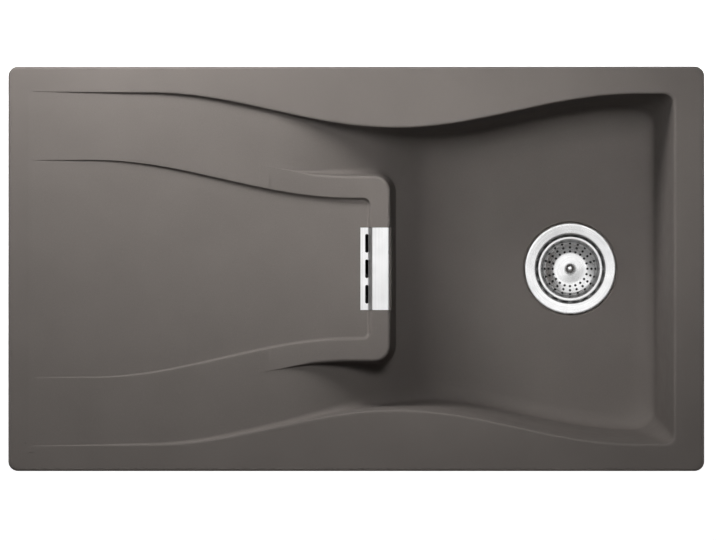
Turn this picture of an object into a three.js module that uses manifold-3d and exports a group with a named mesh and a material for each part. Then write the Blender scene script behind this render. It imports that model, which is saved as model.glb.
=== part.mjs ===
// Kitchen sink with drainboard: a moulded stone-composite worktop sink with one deep bowl, a shallow
// drainboard panel inside a raised ridge, a steel overflow cover, a strainer waste with its basket,
// an overflow hose, a rim seal and eight swinging worktop clamps.
// Millimetres, +Z up. The origin is the centre of the worktop cut-out on the worktop's surface,
// +X runs from the drainboard to the bowl.

import * as THREE from 'three';
import { mergeVertices } from 'three/addons/utils/BufferGeometryUtils.js';
import Module from 'manifold-3d';

const wasm = await Module();
wasm.setup();

const { clamp, lerp, degToRad } = THREE.MathUtils;

// ---------------------------------------------------------------- driving dimensions

// Running clearances between pieces.
const SEAT_GAP = 0.3;
const BORE_GAP = 0.5;

// Rim and worktop.
const LENGTH = 860;
const WIDTH = 500;
const PLAN_CORNER = 12;
const EDGE_ROUND = 3;
const RIM_THICKNESS = 8;
const WALL = 8;
const SEAL_THICKNESS = 1.7;
const SEAL_WIDTH = 6;
const SEAL_INSET = 2;
const LEFT = -LENGTH / 2;
const RIGHT = LENGTH / 2;
const RIM_UNDER = SEAL_THICKNESS + SEAT_GAP;
const RIM_TOP = RIM_UNDER + RIM_THICKNESS;

// Recess: its long edges draw in to a waist between the drainboard and the bowl.
const RECESS_BORDER = 31;
const RECESS_START = 25;
const BOWL_END_BORDER = 34;
const WAIST_FROM_LEFT = 478;
const WAIST_DEPTH = 42;
const WAIST_SPAN = 300;
const RECESS_HALF_WIDTH = WIDTH / 2 - RECESS_BORDER;
const RECESS_X = LEFT + RECESS_START;
const BOWL_END_X = RIGHT - BOWL_END_BORDER;
const WAIST_X = LEFT + WAIST_FROM_LEFT;

// Drainboard panel and the ridge round it.
const PANEL_START = 31;
const PANEL_LENGTH = 416.3;
const PANEL_HALF_WIDTH = 136;
const PANEL_TAPER = 48.5;
const PANEL_TAPER_START = 99.5;
const PANEL_TAPER_LENGTH = 329;
const PANEL_DEPTH_START = 0.3;
const PANEL_DEPTH_END = 7;
const PANEL_CORNER = 5;
const PANEL_LEAN = 1.5;
const RIDGE_WIDTH = 24.7;
const RIDGE_SIDE_WIDTH = 27.4;
const RIDGE_CORNER = 20;
const RIDGE_BLEND = 12;
const RIDGE_RISE = 0.03;
const PLATEAU_FALL = 12;
const PANEL_X = LEFT + PANEL_START;
const PANEL_END_X = PANEL_X + PANEL_LENGTH;
const RIDGE_END_X = PANEL_END_X + RIDGE_WIDTH;

// Bowl: a long slope falls from the drainboard to a dished floor.
const BOWL_DEPTH = 192;
const CREST_SETBACK = 154;
const SLOPE_RUN = 292;
const CREST_RADIUS = 195;
const FOOT_RADIUS = 125;
const DISH_DEPTH = 4;
const DISH_RADIUS = 185;
const DRAFT = degToRad(5);
const LIP_RADIUS = 3;
const FOOT_FILLET = 16;
const SHALLOW_FILLET = 3;
const FILLET_RATE = 0.25;
const END_WALL_LEAN = 0.74;
const BOWL_CORNER = 8;
const BOWL_CORNER_GROWTH = 0.8;
const CREST_X = RIDGE_END_X - CREST_SETBACK;
const FLOOR_Z = RIM_TOP - BOWL_DEPTH;

// Drain seat.
const DRAIN_FROM_RIGHT = 163;
const SEAT_DEPTH = 3;
const DRAIN_HOLE_RADIUS = 45;
const FLANGE_RADIUS = 57;
const FLANGE_THICKNESS = 2;
const FLANGE_GASKET = 0.8;
const DRAIN_BOSS_MARGIN = 3.5;
const DRAIN_X = RIGHT - DRAIN_FROM_RIGHT;
const SEAT_Z = FLOOR_Z - DISH_DEPTH - SEAT_DEPTH;
const BOSS_UNDER = SEAT_Z - WALL;
const SEAT_RADIUS = FLANGE_RADIUS + 3 * BORE_GAP;

// Tap ledges: blind recesses under the rim at the waist, for cutting a tap hole.
const TAP_HOLE_RADIUS = 17.5;
const TAP_RECESS_DEPTH = 4;
const TAP_FROM_EDGE = 37;

// Overflow cover, a folded steel sheet between the panel's end and the bowl.
const SHEET = 1.2;
const COVER_WIDTH = 102;
const COVER_FOOT = 12.2;
const COVER_RISE = 2.1;
const COVER_LIP = 16;
const COVER_LIP_SETBACK = 0.8;
const COVER_FOLD = 2.4;
const SLOT_LENGTH = 23;
const SLOT_WIDTH = 4;
const SLOT_SETBACK = 0.2;
const SLOT_SPACING = 31.5;
const LIP_SLOT_HEIGHT = 5.5;
const LIP_SLOT_TOP = 7;
const REBATE_MARGIN = 0.4;

// Overflow pocket in the moulding, and the plastic body under it.
const POCKET_WIDTH = 16;
const POCKET_LENGTH = 94;
const TUNNEL_LENGTH = 80;
const TUNNEL_MARGIN = 0.5;
const PAD_WIDTH = 32;
const PAD_LENGTH = 132;
const PAD_DROP = 18;
const OVERFLOW_SETBACK = 1.5;
const OVERFLOW_GASKET = 2;
const OVERFLOW_FLANGE = 3;
const OVERFLOW_FLANGE_LENGTH = 128;
const OVERFLOW_FLANGE_MARGIN = 1;
const OVERFLOW_WALL = 2.2;
const OVERFLOW_DEPTH = 38.4;
const TRAY_END = 0.2;
const TRAY_HALFWAY = 0.55;
const TRAY_ROUND = 0.68;
const OVERFLOW_SCREW_Y = 58;
const OVERFLOW_SCREW_RADIUS = 1.8;
const OVERFLOW_SCREW_HEAD = 4;
const OVERFLOW_SCREW_HEIGHT = 2.5;
const OVERFLOW_SCREW_BITE = 10;
const RIDGE_END_TOP = RIM_TOP - PLATEAU_FALL;
const PAD_UNDER = RIDGE_END_TOP - PAD_DROP;
const OVERFLOW_X = PANEL_END_X + OVERFLOW_SETBACK;
const OVERFLOW_FLANGE_TOP = PAD_UNDER - 2 * SEAT_GAP - OVERFLOW_GASKET;
const OVERFLOW_FLANGE_UNDER = OVERFLOW_FLANGE_TOP - OVERFLOW_FLANGE;
const OVERFLOW_END_Z = OVERFLOW_FLANGE_UNDER - OVERFLOW_DEPTH;

// Overflow hose, ribbed between two smooth cuffs.
const HOSE_RADIUS = 12;
const HOSE_RIB_DEPTH = 1.4;
const HOSE_WALL = 1.2;
const HOSE_PITCH = 5;
const HOSE_BEND = 85;
const HOSE_SIDES = 8;
const BEND_STEPS_PER_RIB = 5;
const NUT_LENGTH = 18;
const NUT_WALL = 4;
const NUT_OVERLAP = 6;

// Strainer waste, heights below the seat and radii about the drain.
const CUP_TOP_RADIUS = 43;
const CUP_FLOOR_RADIUS = 39;
const CUP_DEPTH = 36;
const CUP_SHEET = 1.2;
const CUP_CORNER = 2;
const FLANGE_ROLL = 0.6;
const FLANGE_CROWN = 0.3;
const FLANGE_EDGE = 1.5;
const WELL_RADIUS = 11;
const WELL_DEPTH = 6;
const CUP_HOLES = 6;
const CUP_HOLE_RADIUS = 7.5;
const CUP_HOLE_CIRCLE = 22.5;
const BODY_GASKET = 3;
const BODY_FLANGE = 4;
const BODY_FLANGE_RADIUS = 60;
const BODY_RADIUS = 46;
const BODY_WALL = 2.5;
const BODY_CYLINDER = 56;
const NECK_TOP = 84;
const NECK_RADIUS = 20.5;
const NECK_WALL = 3.4;
const WASTE_DEPTH = 125;
const THREAD_PITCH = 6;
const THREADS = 4;
const THREAD_HEIGHT = 1.3;
const HUB_RADIUS = 13;
const HUB_TOP = 70;
const HUB_UNDER = 92;
const SPOKES = 3;
const SPOKE_WIDTH = 4;
const SPIGOT_DROP = 47;
const SPIGOT_BORE = 9;
const SPIGOT_LENGTH = 28;

// Fixing bolt through the cup into a brass insert.
const BOLT_RADIUS = 6;
const BOLT_HEAD_RADIUS = 9;
const BOLT_HEAD_HEIGHT = 3.7;
const BOLT_CHAMFER = 0.8;
const BOLT_LENGTH = 53;
const BOLT_BORE_DEPTH = 14;
const BOLT_WASHER = 1;
const INSERT_RADIUS = 9;
const INSERT_LENGTH = 16;
const INSERT_COVER = 4;

// Basket with its knob, stem and stopper.
const BASKET_RADIUS = 37;
const BEAD_WIDTH = 3.4;
const BEAD_TOP = 4;
const BEAD_HEIGHT = 2.5;
const BASKET_SHEET = 0.9;
const BASKET_DEPTH = 28;
const BASKET_CENTRE_RADIUS = 20.3;
const BASKET_CONE_RISE = 4.5;
const BASKET_CROWN = 1.5;
const BASKET_FOOT = 3;
const BASKET_SHOULDER = 3;
const BASKET_CONE_RADIUS = BASKET_RADIUS - BASKET_FOOT - BASKET_SHOULDER;
const BEAD_ROUND = 0.3;
const HOLE_RINGS = 3;
const HOLE_RING_FIRST = 21.7;
const HOLE_RING_STEP = 5.1;
const HOLES_PER_RING = 20;
const HOLE_RADIUS = 1.5;
const KNOB_RADIUS = 7.4;
const KNOB_CENTRE = 13;
const KNOB_NECK = 4;
const KNOB_FOOT = 1;
const KNOB_STEPS = 7;
const STEM_RADIUS = 2.3;
const STEM_DEPTH = 50;
const STEM_TIP = 1;
const STEM_BELOW_CENTRE = 1.5;
const STOPPER_RADIUS = 33;
const STOPPER_THICKNESS = 2.8;
const STOPPER_EDGE = 1;
const STOPPER_WASHER_RADIUS = 6;
const SLEEVE_WALL = 0.7;
const SLEEVE_LENGTH = 8;

// Worktop clamps: along each long edge and one at each end.
const CLAMP_STATIONS = [130, 380, 630];
const CLAMP_EDGE_INSET = 20;
const CLAMP_END_INSET = 19;
const CLAMP_BOSS_HALF = 8;
const CLAMP_BOSS_UNDER = -24;
const CLAMP_SCREW_RADIUS = 2.4;
const CLAMP_HEAD_RADIUS = 4.6;
const CLAMP_HEAD_HEIGHT = 3.5;
const CLAMP_INSERT_WALL = 1.9;
const CLAMP_INSERT_LENGTH = 12;
const CLAMP_SCREW_OVERRUN = 7;
const CLAMP_HOLE_TOP = 0;
const CLAMP_DROP = 33.5;
const CLAMP_PLATE = 2.5;
const CLAMP_ARM = 28;
const CLAMP_TOOTH = 7.5;
const CLAMP_WIDTH = 14;

// Pan heads: share of the radius that is flat, and share of the height that is straight.
const PAN_FLAT = 0.7;
const PAN_SIDE = 0.5;

// How finely round and curved faces are drawn.
const ROUND_SIDES = 36;
const MEDIUM_SIDES = 24;
const SMALL_SIDES = 10;
const HOLE_SIDES = 4;
const CORNER_STEPS = 4;
const OUTLINE_STEPS = 18;
const SLOPE_COLUMNS = 16;
const FLAT_COLUMNS = 5;
const FLOOR_COLUMNS = 5;
const FLOOR_ROWS = 4;
const WELD = 1e-4;
const SLIVER = 0.01;
const LEAST_ROW_GAP = 0.6;

// How far a cut or a join runs past a face.
const PAST = 1;
const BEYOND = 10;
const FAR_BELOW = 2 * BOWL_DEPTH;

// ---------------------------------------------------------------- solids

/** Volume inside a triangle mesh, negative where its faces point in. */
function signedVolume(positions, corners) {
  const [a, b, c] = [new THREE.Vector3(), new THREE.Vector3(), new THREE.Vector3()];
  let volume = 0;
  for (let i = 0; i < corners.length; i += 3) {
    a.fromArray(positions, 3 * corners[i]);
    b.fromArray(positions, 3 * corners[i + 1]);
    c.fromArray(positions, 3 * corners[i + 2]);
    volume += a.dot(b.cross(c)) / 6;
  }
  return volume;
}

/** Closed geometry as a solid: corners welded, empty triangles left out, faces turned outwards. */
function solid(geometry) {
  const bare = geometry.clone();
  bare.deleteAttribute('normal');
  bare.deleteAttribute('uv');
  const welded = mergeVertices(bare, WELD);
  const positions = welded.attributes.position.array;
  const corners = [];
  for (let i = 0; i < welded.index.count; i += 3) {
    const [a, b, c] = [0, 1, 2].map((k) => welded.index.getX(i + k));
    if (a !== b && b !== c && c !== a) {
      corners.push(a, b, c);
    }
  }
  if (signedVolume(positions, corners) < 0) {
    corners.reverse();
  }
  const triVerts = new Uint32Array(corners);
  const mesh = new wasm.Mesh({ numProp: 3, vertProperties: positions, triVerts, tolerance: SLIVER });
  return new wasm.Manifold(mesh);
}

/** Surface of a solid as a geometry. */
function geometryOf(body) {
  const { vertProperties, triVerts } = body.getMesh();
  const geometry = new THREE.BufferGeometry();
  geometry.setAttribute('position', new THREE.BufferAttribute(vertProperties, 3));
  geometry.setIndex(new THREE.BufferAttribute(triVerts, 1));
  geometry.computeVertexNormals();
  return geometry;
}

/** Solid from a list of points and a list of triangles. */
function faceted(points, triangles) {
  const geometry = new THREE.BufferGeometry();
  geometry.setAttribute('position', new THREE.Float32BufferAttribute(points.flat(), 3));
  geometry.setIndex(triangles.flat());
  return solid(geometry);
}

/** Profile of [radius, height] points turned about a vertical axis at x. */
function turned(profile, sides, x = 0) {
  const points = [...profile, profile[0]].map(([radius, height]) => new THREE.Vector2(radius, height));
  const geometry = new THREE.LatheGeometry(points, sides);
  geometry.rotateX(Math.PI / 2);
  geometry.translate(x, 0, 0);
  return solid(geometry);
}

/** Ring between two radii and two heights; an inner radius of 0 makes a plain disc or pin. */
function ring(inner, outer, bottom, top, sides, x = 0) {
  return turned([[inner, bottom], [outer, bottom], [outer, top], [inner, top]], sides, x);
}

/** Flat shape raised from one height to another. */
function prism(shape, bottom, top) {
  const geometry = new THREE.ExtrudeGeometry(shape, {
    depth: top - bottom,
    bevelEnabled: false,
    curveSegments: CORNER_STEPS,
  });
  geometry.translate(0, 0, bottom);
  return solid(geometry);
}

/** Block between two corners. */
function block([x0, y0, z0], [x1, y1, z1]) {
  const geometry = new THREE.BoxGeometry(x1 - x0, y1 - y0, z1 - z0);
  geometry.translate((x0 + x1) / 2, (y0 + y1) / 2, (z0 + z1) / 2);
  return solid(geometry);
}

/** Outline in the XZ plane run along Y, centred on y = 0. */
function runAcross(outline, width) {
  const shape = new THREE.Shape(outline.map(([x, z]) => new THREE.Vector2(x, z)));
  const geometry = new THREE.ExtrudeGeometry(shape, { depth: width, bevelEnabled: false });
  geometry.rotateX(Math.PI / 2);
  geometry.translate(0, width / 2, 0);
  return solid(geometry);
}

/** Skin over rings of equal length, closed by a fan at each end. */
function skinned(rings) {
  const count = rings[0].length;
  const points = rings.flat();
  const triangles = [];
  for (let level = 0; level + 1 < rings.length; level += 1) {
    for (let i = 0; i < count; i += 1) {
      const [a, b] = [level * count + i, level * count + ((i + 1) % count)];
      triangles.push([a, b, b + count], [a, b + count, a + count]);
    }
  }
  for (const [first, flip] of [[0, true], [(rings.length - 1) * count, false]]) {
    const middle = points.length;
    const cap = points.slice(first, first + count);
    points.push([0, 1, 2].map((axis) => cap.reduce((sum, point) => sum + point[axis], 0) / count));
    for (let i = 0; i < count; i += 1) {
      const [a, b] = [first + i, first + ((i + 1) % count)];
      triangles.push(flip ? [b, a, middle] : [a, b, middle]);
    }
  }
  return faceted(points, triangles);
}

/** Plan outline at a height, which may depend on x. */
function atHeight(outline, heightAt) {
  return outline.map(([x, y]) => [x, y, heightAt(x)]);
}

/** Rounded rectangle as points, counter-clockwise, centred on (x, 0). */
function roundedOutline(halfX, halfY, radius, x = 0) {
  const outline = [];
  for (const [quadrant, sx, sy] of [[0, 1, 1], [1, -1, 1], [2, -1, -1], [3, 1, -1]]) {
    for (let i = 0; i <= CORNER_STEPS; i += 1) {
      const angle = (quadrant + i / CORNER_STEPS) * (Math.PI / 2);
      const across = sx * (halfX - radius) + radius * Math.cos(angle);
      const along = sy * (halfY - radius) + radius * Math.sin(angle);
      outline.push([x + across, along]);
    }
  }
  return outline;
}

/** Rounded rectangle as a shape, with a rounded opening where one is given. */
function roundedShape(outer, opening) {
  const shape = new THREE.Shape(outer.map(([x, y]) => new THREE.Vector2(x, y)));
  if (opening) {
    shape.holes.push(new THREE.Path(opening.map(([x, y]) => new THREE.Vector2(x, y))));
  }
  return shape;
}

/** Path moved to its right by a distance, its corners mitred. */
function offsetPath(path, distance) {
  const normals = path.slice(1).map(([x, z], i) => {
    const [dx, dz] = [x - path[i][0], z - path[i][1]];
    return [dz / Math.hypot(dx, dz), -dx / Math.hypot(dx, dz)];
  });
  return path.map(([x, z], i) => {
    const before = normals[Math.max(i - 1, 0)];
    const after = normals[Math.min(i, normals.length - 1)];
    const scale = distance / (1 + before[0] * after[0] + before[1] * after[1]);
    return [x + scale * (before[0] + after[0]), z + scale * (before[1] + after[1])];
  });
}

/** Named piece of the sink with its material. */
function piece(name, body, material) {
  const mesh = new THREE.Mesh(geometryOf(body), material);
  mesh.name = name;
  return mesh;
}

// ---------------------------------------------------------------- the moulding's surfaces

/** Share of a full wave, 0 at the ends and 1 in the middle. */
function swell(turn) {
  return 0.5 * (1 + Math.cos(Math.PI * clamp(turn, -1, 1)));
}

/** Half the width of the recess at x. */
function recessHalfWidth(x) {
  return RECESS_HALF_WIDTH - WAIST_DEPTH * swell((x - WAIST_X) / WAIST_SPAN);
}

/** Cosine of the angle that the recess's edge makes with the sink's length at x. */
function recessEdgeCosine(x) {
  const turn = clamp((x - WAIST_X) / WAIST_SPAN, -1, 1);
  const slope = (WAIST_DEPTH * Math.PI * Math.sin(Math.PI * turn)) / (2 * WAIST_SPAN);
  return 1 / Math.hypot(1, slope);
}

/** Half the width of the drainboard panel at x. */
function panelHalfWidth(x) {
  const along = clamp((x - LEFT - PANEL_TAPER_START) / PANEL_TAPER_LENGTH, 0, 1);
  return PANEL_HALF_WIDTH - PANEL_TAPER * swell(1 - along);
}

/** Height of the drainboard's level surface, which falls gently to the bowl. */
function plateauHeight(x) {
  return RIM_TOP - PLATEAU_FALL * Math.max((x - RECESS_X) / (RIDGE_END_X - RECESS_X), 0);
}

/** Height of the panel's floor. */
function panelFloorHeight(x) {
  const along = (x - PANEL_X) / PANEL_LENGTH;
  return plateauHeight(x) - lerp(PANEL_DEPTH_START, PANEL_DEPTH_END, Math.max(along, 0));
}

/** Drop of the slope at a run from its crest: a crest arc, a straight and a foot arc. */
function slopeDrop(run, total, thickness) {
  const most = (0.98 * (SLOPE_RUN ** 2 + total ** 2)) / (2 * total);
  const scale = Math.min(1, most / (CREST_RADIUS + FOOT_RADIUS));
  const crest = CREST_RADIUS * scale - thickness;
  const foot = FOOT_RADIUS * scale + thickness;
  const over = crest + foot - total;
  const chord = Math.atan2(over, SLOPE_RUN) + Math.acos((crest + foot) / Math.hypot(SLOPE_RUN, over));
  const angle = Math.PI / 2 - chord;
  const left = SLOPE_RUN - run;
  if (run <= 0) {
    return 0;
  }
  if (run < crest * Math.sin(angle)) {
    return crest - Math.sqrt(crest ** 2 - run ** 2);
  }
  if (left <= 0) {
    return total;
  }
  if (left < foot * Math.sin(angle)) {
    return total - foot + Math.sqrt(foot ** 2 - left ** 2);
  }
  return crest * (1 - Math.cos(angle)) + (run - crest * Math.sin(angle)) * Math.tan(angle);
}

/** Height of the recess's bottom: level drainboard, slope, then dished floor. */
function bottomHeight(x, y, thickness) {
  const fade = clamp((x - CREST_X) / CREST_SETBACK, 0, 1);
  const gradient = PLATEAU_FALL / (RIDGE_END_X - RECESS_X);
  const level = plateauHeight(Math.min(x, CREST_X));
  const eased = level - gradient * CREST_SETBACK * (fade - fade ** 2 / 2);
  const foot = plateauHeight(CREST_X) - (gradient * CREST_SETBACK) / 2;
  const drop = slopeDrop(x - CREST_X, foot - FLOOR_Z, thickness);
  const spread = Math.min(Math.hypot(x - DRAIN_X, y) / DISH_RADIUS, 1);
  return eased - drop - thickness - DISH_DEPTH * (1 - spread ** 2) ** 2;
}

/** Lip and foot radii of the wall where it is this deep, smaller where it is shallow. */
function wallRadii(full, thickness) {
  const foot = Math.min(FOOT_FILLET, SHALLOW_FILLET + FILLET_RATE * full) + thickness;
  const scale = Math.min(1, full / ((LIP_RADIUS + foot) * (1 - Math.sin(DRAFT))));
  return { lip: LIP_RADIUS * scale, foot: foot * scale };
}

/** Insets at which the wall's profile changes: along its lip, its straight and its foot. */
function wallBreaks(full, thickness) {
  const { lip, foot } = wallRadii(full, thickness);
  const straight = (full - (lip + foot) * (1 - Math.sin(DRAFT))) * Math.tan(DRAFT);
  const start = lip * Math.cos(DRAFT);
  const turns = [0, 0.28, 0.62, 1].map((share) => start + straight + share * foot * Math.cos(DRAFT));
  const breaks = [0, start / 2, start, start + straight / 2, ...turns];
  for (let i = 1; i < breaks.length; i += 1) {
    breaks[i] = Math.max(breaks[i], breaks[i - 1] + LEAST_ROW_GAP);
  }
  return breaks;
}

/** Depth of the wall below the rim at an inset from its edge. */
function wallDepth(inset, full, thickness) {
  const { lip, foot } = wallRadii(full, thickness);
  const straight = (full - (lip + foot) * (1 - Math.sin(DRAFT))) * Math.tan(DRAFT);
  const [lipRun, footRun] = [lip * Math.cos(DRAFT), foot * Math.cos(DRAFT)];
  const left = lipRun + straight + footRun - inset;
  if (inset <= 0) {
    return 0;
  }
  if (inset < lipRun) {
    return lip - Math.sqrt(lip ** 2 - inset ** 2);
  }
  if (left <= 0) {
    return full;
  }
  if (left < footRun) {
    return full - foot + Math.sqrt(foot ** 2 - left ** 2);
  }
  return lip * (1 - Math.sin(DRAFT)) + (inset - lipRun) / Math.tan(DRAFT);
}

/** Inset from two walls that meet in a corner, whose radius grows with the inset. */
function cornerInset(dx, dy) {
  const reach = 1 + BOWL_CORNER_GROWTH;
  const a = 2 * reach ** 2 - BOWL_CORNER_GROWTH ** 2;
  const b = BOWL_CORNER * (4 * reach - 2 * BOWL_CORNER_GROWTH) - 2 * reach * (dx + dy);
  const c = BOWL_CORNER ** 2 - 2 * BOWL_CORNER * (dx + dy) + dx ** 2 + dy ** 2;
  const inset = (Math.sqrt(Math.max(b ** 2 - 4 * a * c, 0)) - b) / (2 * a);
  return Math.max(dx, dy) < BOWL_CORNER + reach * inset ? inset : Math.min(dx, dy);
}

/** Inset of a point from the edge of the recess. */
function recessInset(x, y) {
  const side = (recessHalfWidth(x) - Math.abs(y)) * recessEdgeCosine(x);
  return cornerInset((BOWL_END_X - x) * END_WALL_LEAN, side);
}

/** Height of the recess and rim seen from above. */
function upperHeight(x, y) {
  return RIM_TOP - wallDepth(recessInset(x, y), RIM_TOP - bottomHeight(x, y, 0), 0);
}

/** Height of the moulding's underside, one wall away from the upper surface. */
function lowerHeight(x, y) {
  const full = RIM_TOP - bottomHeight(x, y, WALL);
  return Math.min(RIM_UNDER, RIM_TOP - wallDepth(recessInset(x, y) + WALL, full, WALL));
}

/** Evenly spaced values after the first end, up to and with the second. */
function spaced(from, to, count) {
  return Array.from({ length: count }, (_, i) => lerp(from, to, (i + 1) / count));
}

/** Grid of points on one surface, its rows following the recess's edges and the end wall. */
function surfaceGrid(heightAt, thickness) {
  const endBreaks = wallBreaks(BOWL_DEPTH + DISH_DEPTH / 2 + thickness, thickness);
  const endColumns = endBreaks.map((inset) => BOWL_END_X - (inset - thickness) / END_WALL_LEAN);
  const footX = CREST_X + SLOPE_RUN;
  const columns = [
    LEFT - BEYOND,
    RECESS_X,
    ...spaced(RECESS_X, CREST_X, FLAT_COLUMNS),
    ...spaced(CREST_X, footX, SLOPE_COLUMNS),
    ...spaced(footX, endColumns.at(-1), FLOOR_COLUMNS + 1).slice(0, -1),
    ...endColumns,
    RIGHT + BEYOND,
  ].sort((a, b) => a - b);
  return columns.map((x) => {
    const full = RIM_TOP - bottomHeight(x, recessHalfWidth(x), thickness);
    const walls = wallBreaks(full, thickness).map(
      (inset) => recessHalfWidth(x) - (inset - thickness) / recessEdgeCosine(x),
    );
    const inner = spaced(walls.at(-1), 0, FLOOR_ROWS + 1).slice(0, -1);
    const upper = [WIDTH / 2 + BEYOND, ...walls, ...inner];
    const rows = [...upper, 0, ...upper.map((y) => -y).reverse()];
    return rows.map((y) => [x, y, heightAt(x, y)]);
  });
}

/** Body between two grids of the same size, the first one on top. */
function slab(top, bottom) {
  const [across, along] = [top.length, top[0].length];
  const points = [...top.flat(), ...bottom.flat()];
  const under = across * along;
  const triangles = [];
  const quad = (a, b, c, d) => {
    const along13 = Math.abs(points[a][2] - points[c][2]);
    const along24 = Math.abs(points[b][2] - points[d][2]);
    triangles.push(...(along13 <= along24 ? [[a, b, c], [a, c, d]] : [[b, c, d], [b, d, a]]));
  };
  for (let i = 0; i + 1 < across; i += 1) {
    for (let j = 0; j + 1 < along; j += 1) {
      const [a, b] = [i * along + j, (i + 1) * along + j];
      quad(a, a + 1, b + 1, b);
      quad(under + a, under + b, under + b + 1, under + a + 1);
    }
    for (const j of [0, along - 1]) {
      const [a, b] = [i * along + j, (i + 1) * along + j];
      if (j === 0) {
        quad(a, b, under + b, under + a);
      } else {
        quad(b, a, under + a, under + b);
      }
    }
  }
  for (let j = 0; j + 1 < along; j += 1) {
    const last = (across - 1) * along;
    quad(j + 1, j, under + j, under + j + 1);
    quad(last + j, last + j + 1, under + last + j + 1, under + last + j);
  }
  return faceted(points, triangles);
}

/** Plan outline of the panel or ridge: wavy long sides, square left end, round right corners. */
function tongueOutline(left, right, corner, spread) {
  const turn = Math.max(corner, LEAST_ROW_GAP);
  const upper = [];
  for (let i = 0; i <= CORNER_STEPS; i += 1) {
    const angle = (i / CORNER_STEPS) * (Math.PI / 2);
    const edge = panelHalfWidth(right - turn) + spread - turn;
    upper.push([right - turn + turn * Math.cos(angle), edge + turn * Math.sin(angle)]);
  }
  for (const x of spaced(right - turn, left, OUTLINE_STEPS)) {
    upper.push([x, panelHalfWidth(x) + spread]);
  }
  return [...upper, ...upper.map(([x, y]) => [x, -y]).reverse()];
}

/** Panel outline, larger or smaller by a margin. */
function panelOutline(margin) {
  return tongueOutline(PANEL_X - margin, PANEL_END_X + margin, PANEL_CORNER + margin, margin);
}

/** Ridge outline from a left end, larger or smaller by a margin. */
function ridgeOutline(left, margin) {
  return tongueOutline(left, RIDGE_END_X + margin, RIDGE_CORNER + margin, RIDGE_SIDE_WIDTH + margin);
}

// ---------------------------------------------------------------- the moulding

/** Rounded block that gives the rim its outline and rounded top edge. */
function rimBlank() {
  const rings = [[FAR_BELOW + RIM_TOP, 0]];
  for (let i = 0; i <= 3; i += 1) {
    const angle = (i / 3) * (Math.PI / 2);
    rings.push([EDGE_ROUND * (1 - Math.sin(angle)), EDGE_ROUND * (1 - Math.cos(angle))]);
  }
  return skinned(rings.map(([depth, inset]) => {
    const outline = roundedOutline(LENGTH / 2 - inset, WIDTH / 2 - inset, PLAN_CORNER - inset);
    return atHeight(outline, () => RIM_TOP - depth);
  }));
}

/** Height of the ridge's top, which rises out of the level drainboard where the slope begins. */
function ridgeTopHeight(x) {
  return plateauHeight(x) - RIDGE_RISE * Math.max(CREST_X + RIDGE_BLEND - x, 0);
}

/** Ridge round the panel: level on top, standing on the channels, its sides drafted. */
function ridgeBody() {
  const top = ridgeOutline(CREST_X - WALL, 0);
  const drop = ([x, y]) => plateauHeight(x) - bottomHeight(x, y, 0) + WALL / 2;
  const bottom = top.map(([x, y]) => {
    const outward = drop([x, y]) * Math.tan(DRAFT);
    const corner = x > RIDGE_END_X - RIDGE_CORNER;
    const away = corner ? outward * clamp((x - RIDGE_END_X + RIDGE_CORNER) / RIDGE_CORNER, 0, 1) : 0;
    const wide = y + Math.sign(y) * outward * (corner ? 1 - away / Math.max(outward, WELD) : 1);
    return [x + away, wide, plateauHeight(x) - drop([x + away, y])];
  });
  return skinned([bottom, atHeight(top, ridgeTopHeight)]);
}

/** Plate under the panel, one wall thick below its floor. */
function panelPan() {
  const outline = panelOutline(WALL);
  return skinned([
    atHeight(outline, (x) => panelFloorHeight(x) - WALL - LEAST_ROW_GAP),
    atHeight(outline, (x) => plateauHeight(x) - WALL / 4),
  ]);
}

/** Space under the ridge and panel, open below. */
function underPanelSpace() {
  const left = CREST_X + WALL;
  const reach = plateauHeight(CREST_X) - FLOOR_Z;
  const outline = ridgeOutline(left, -WALL);
  const low = ridgeOutline(left, reach * Math.tan(DRAFT) - WALL);
  return skinned([
    atHeight(low, (x) => plateauHeight(x) - reach),
    atHeight(outline, (x) => panelFloorHeight(x) - WALL),
  ]);
}

/** Hollow of the panel, its sides leaning out. */
function panelHollow() {
  const floor = tongueOutline(PANEL_X, PANEL_END_X - PANEL_LEAN, PANEL_CORNER, -PANEL_LEAN);
  const top = tongueOutline(PANEL_X - PANEL_LEAN, PANEL_END_X + PANEL_LEAN, PANEL_CORNER, PANEL_LEAN);
  return skinned([
    atHeight(floor, panelFloorHeight),
    atHeight(top, (x) => plateauHeight(x) + PANEL_DEPTH_END),
  ]);
}

/** Folds of the overflow cover's upper face, from its foot in the panel to its lip. */
function coverPath() {
  const foot = panelFloorHeight(PANEL_END_X);
  const lip = RIDGE_END_X - COVER_LIP_SETBACK;
  return [
    [PANEL_END_X - COVER_FOOT, foot],
    [PANEL_END_X - COVER_RISE, foot],
    [PANEL_END_X + COVER_RISE, RIDGE_END_TOP],
    [lip - COVER_FOLD, RIDGE_END_TOP],
    [lip - COVER_FOLD * 0.3, RIDGE_END_TOP - COVER_FOLD * 0.3],
    [lip, RIDGE_END_TOP - COVER_FOLD],
    [lip, RIDGE_END_TOP - COVER_LIP],
  ];
}

/** Rebate that the overflow cover lies in, open above and towards the bowl. */
function coverRebate() {
  const under = offsetPath(coverPath(), SHEET + SEAT_GAP);
  const low = under.at(-1)[1] - WALL / 4;
  const far = RIDGE_END_X + RIDGE_WIDTH;
  const start = under[0][0] - SEAT_GAP;
  const outline = [
    [start, under[0][1]],
    ...under.slice(1, -1),
    [under.at(-1)[0], low],
    [far, low],
    [far, RIM_TOP + BEYOND],
    [start, RIM_TOP + BEYOND],
  ];
  return runAcross(outline, COVER_WIDTH + 2 * REBATE_MARGIN);
}

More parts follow.
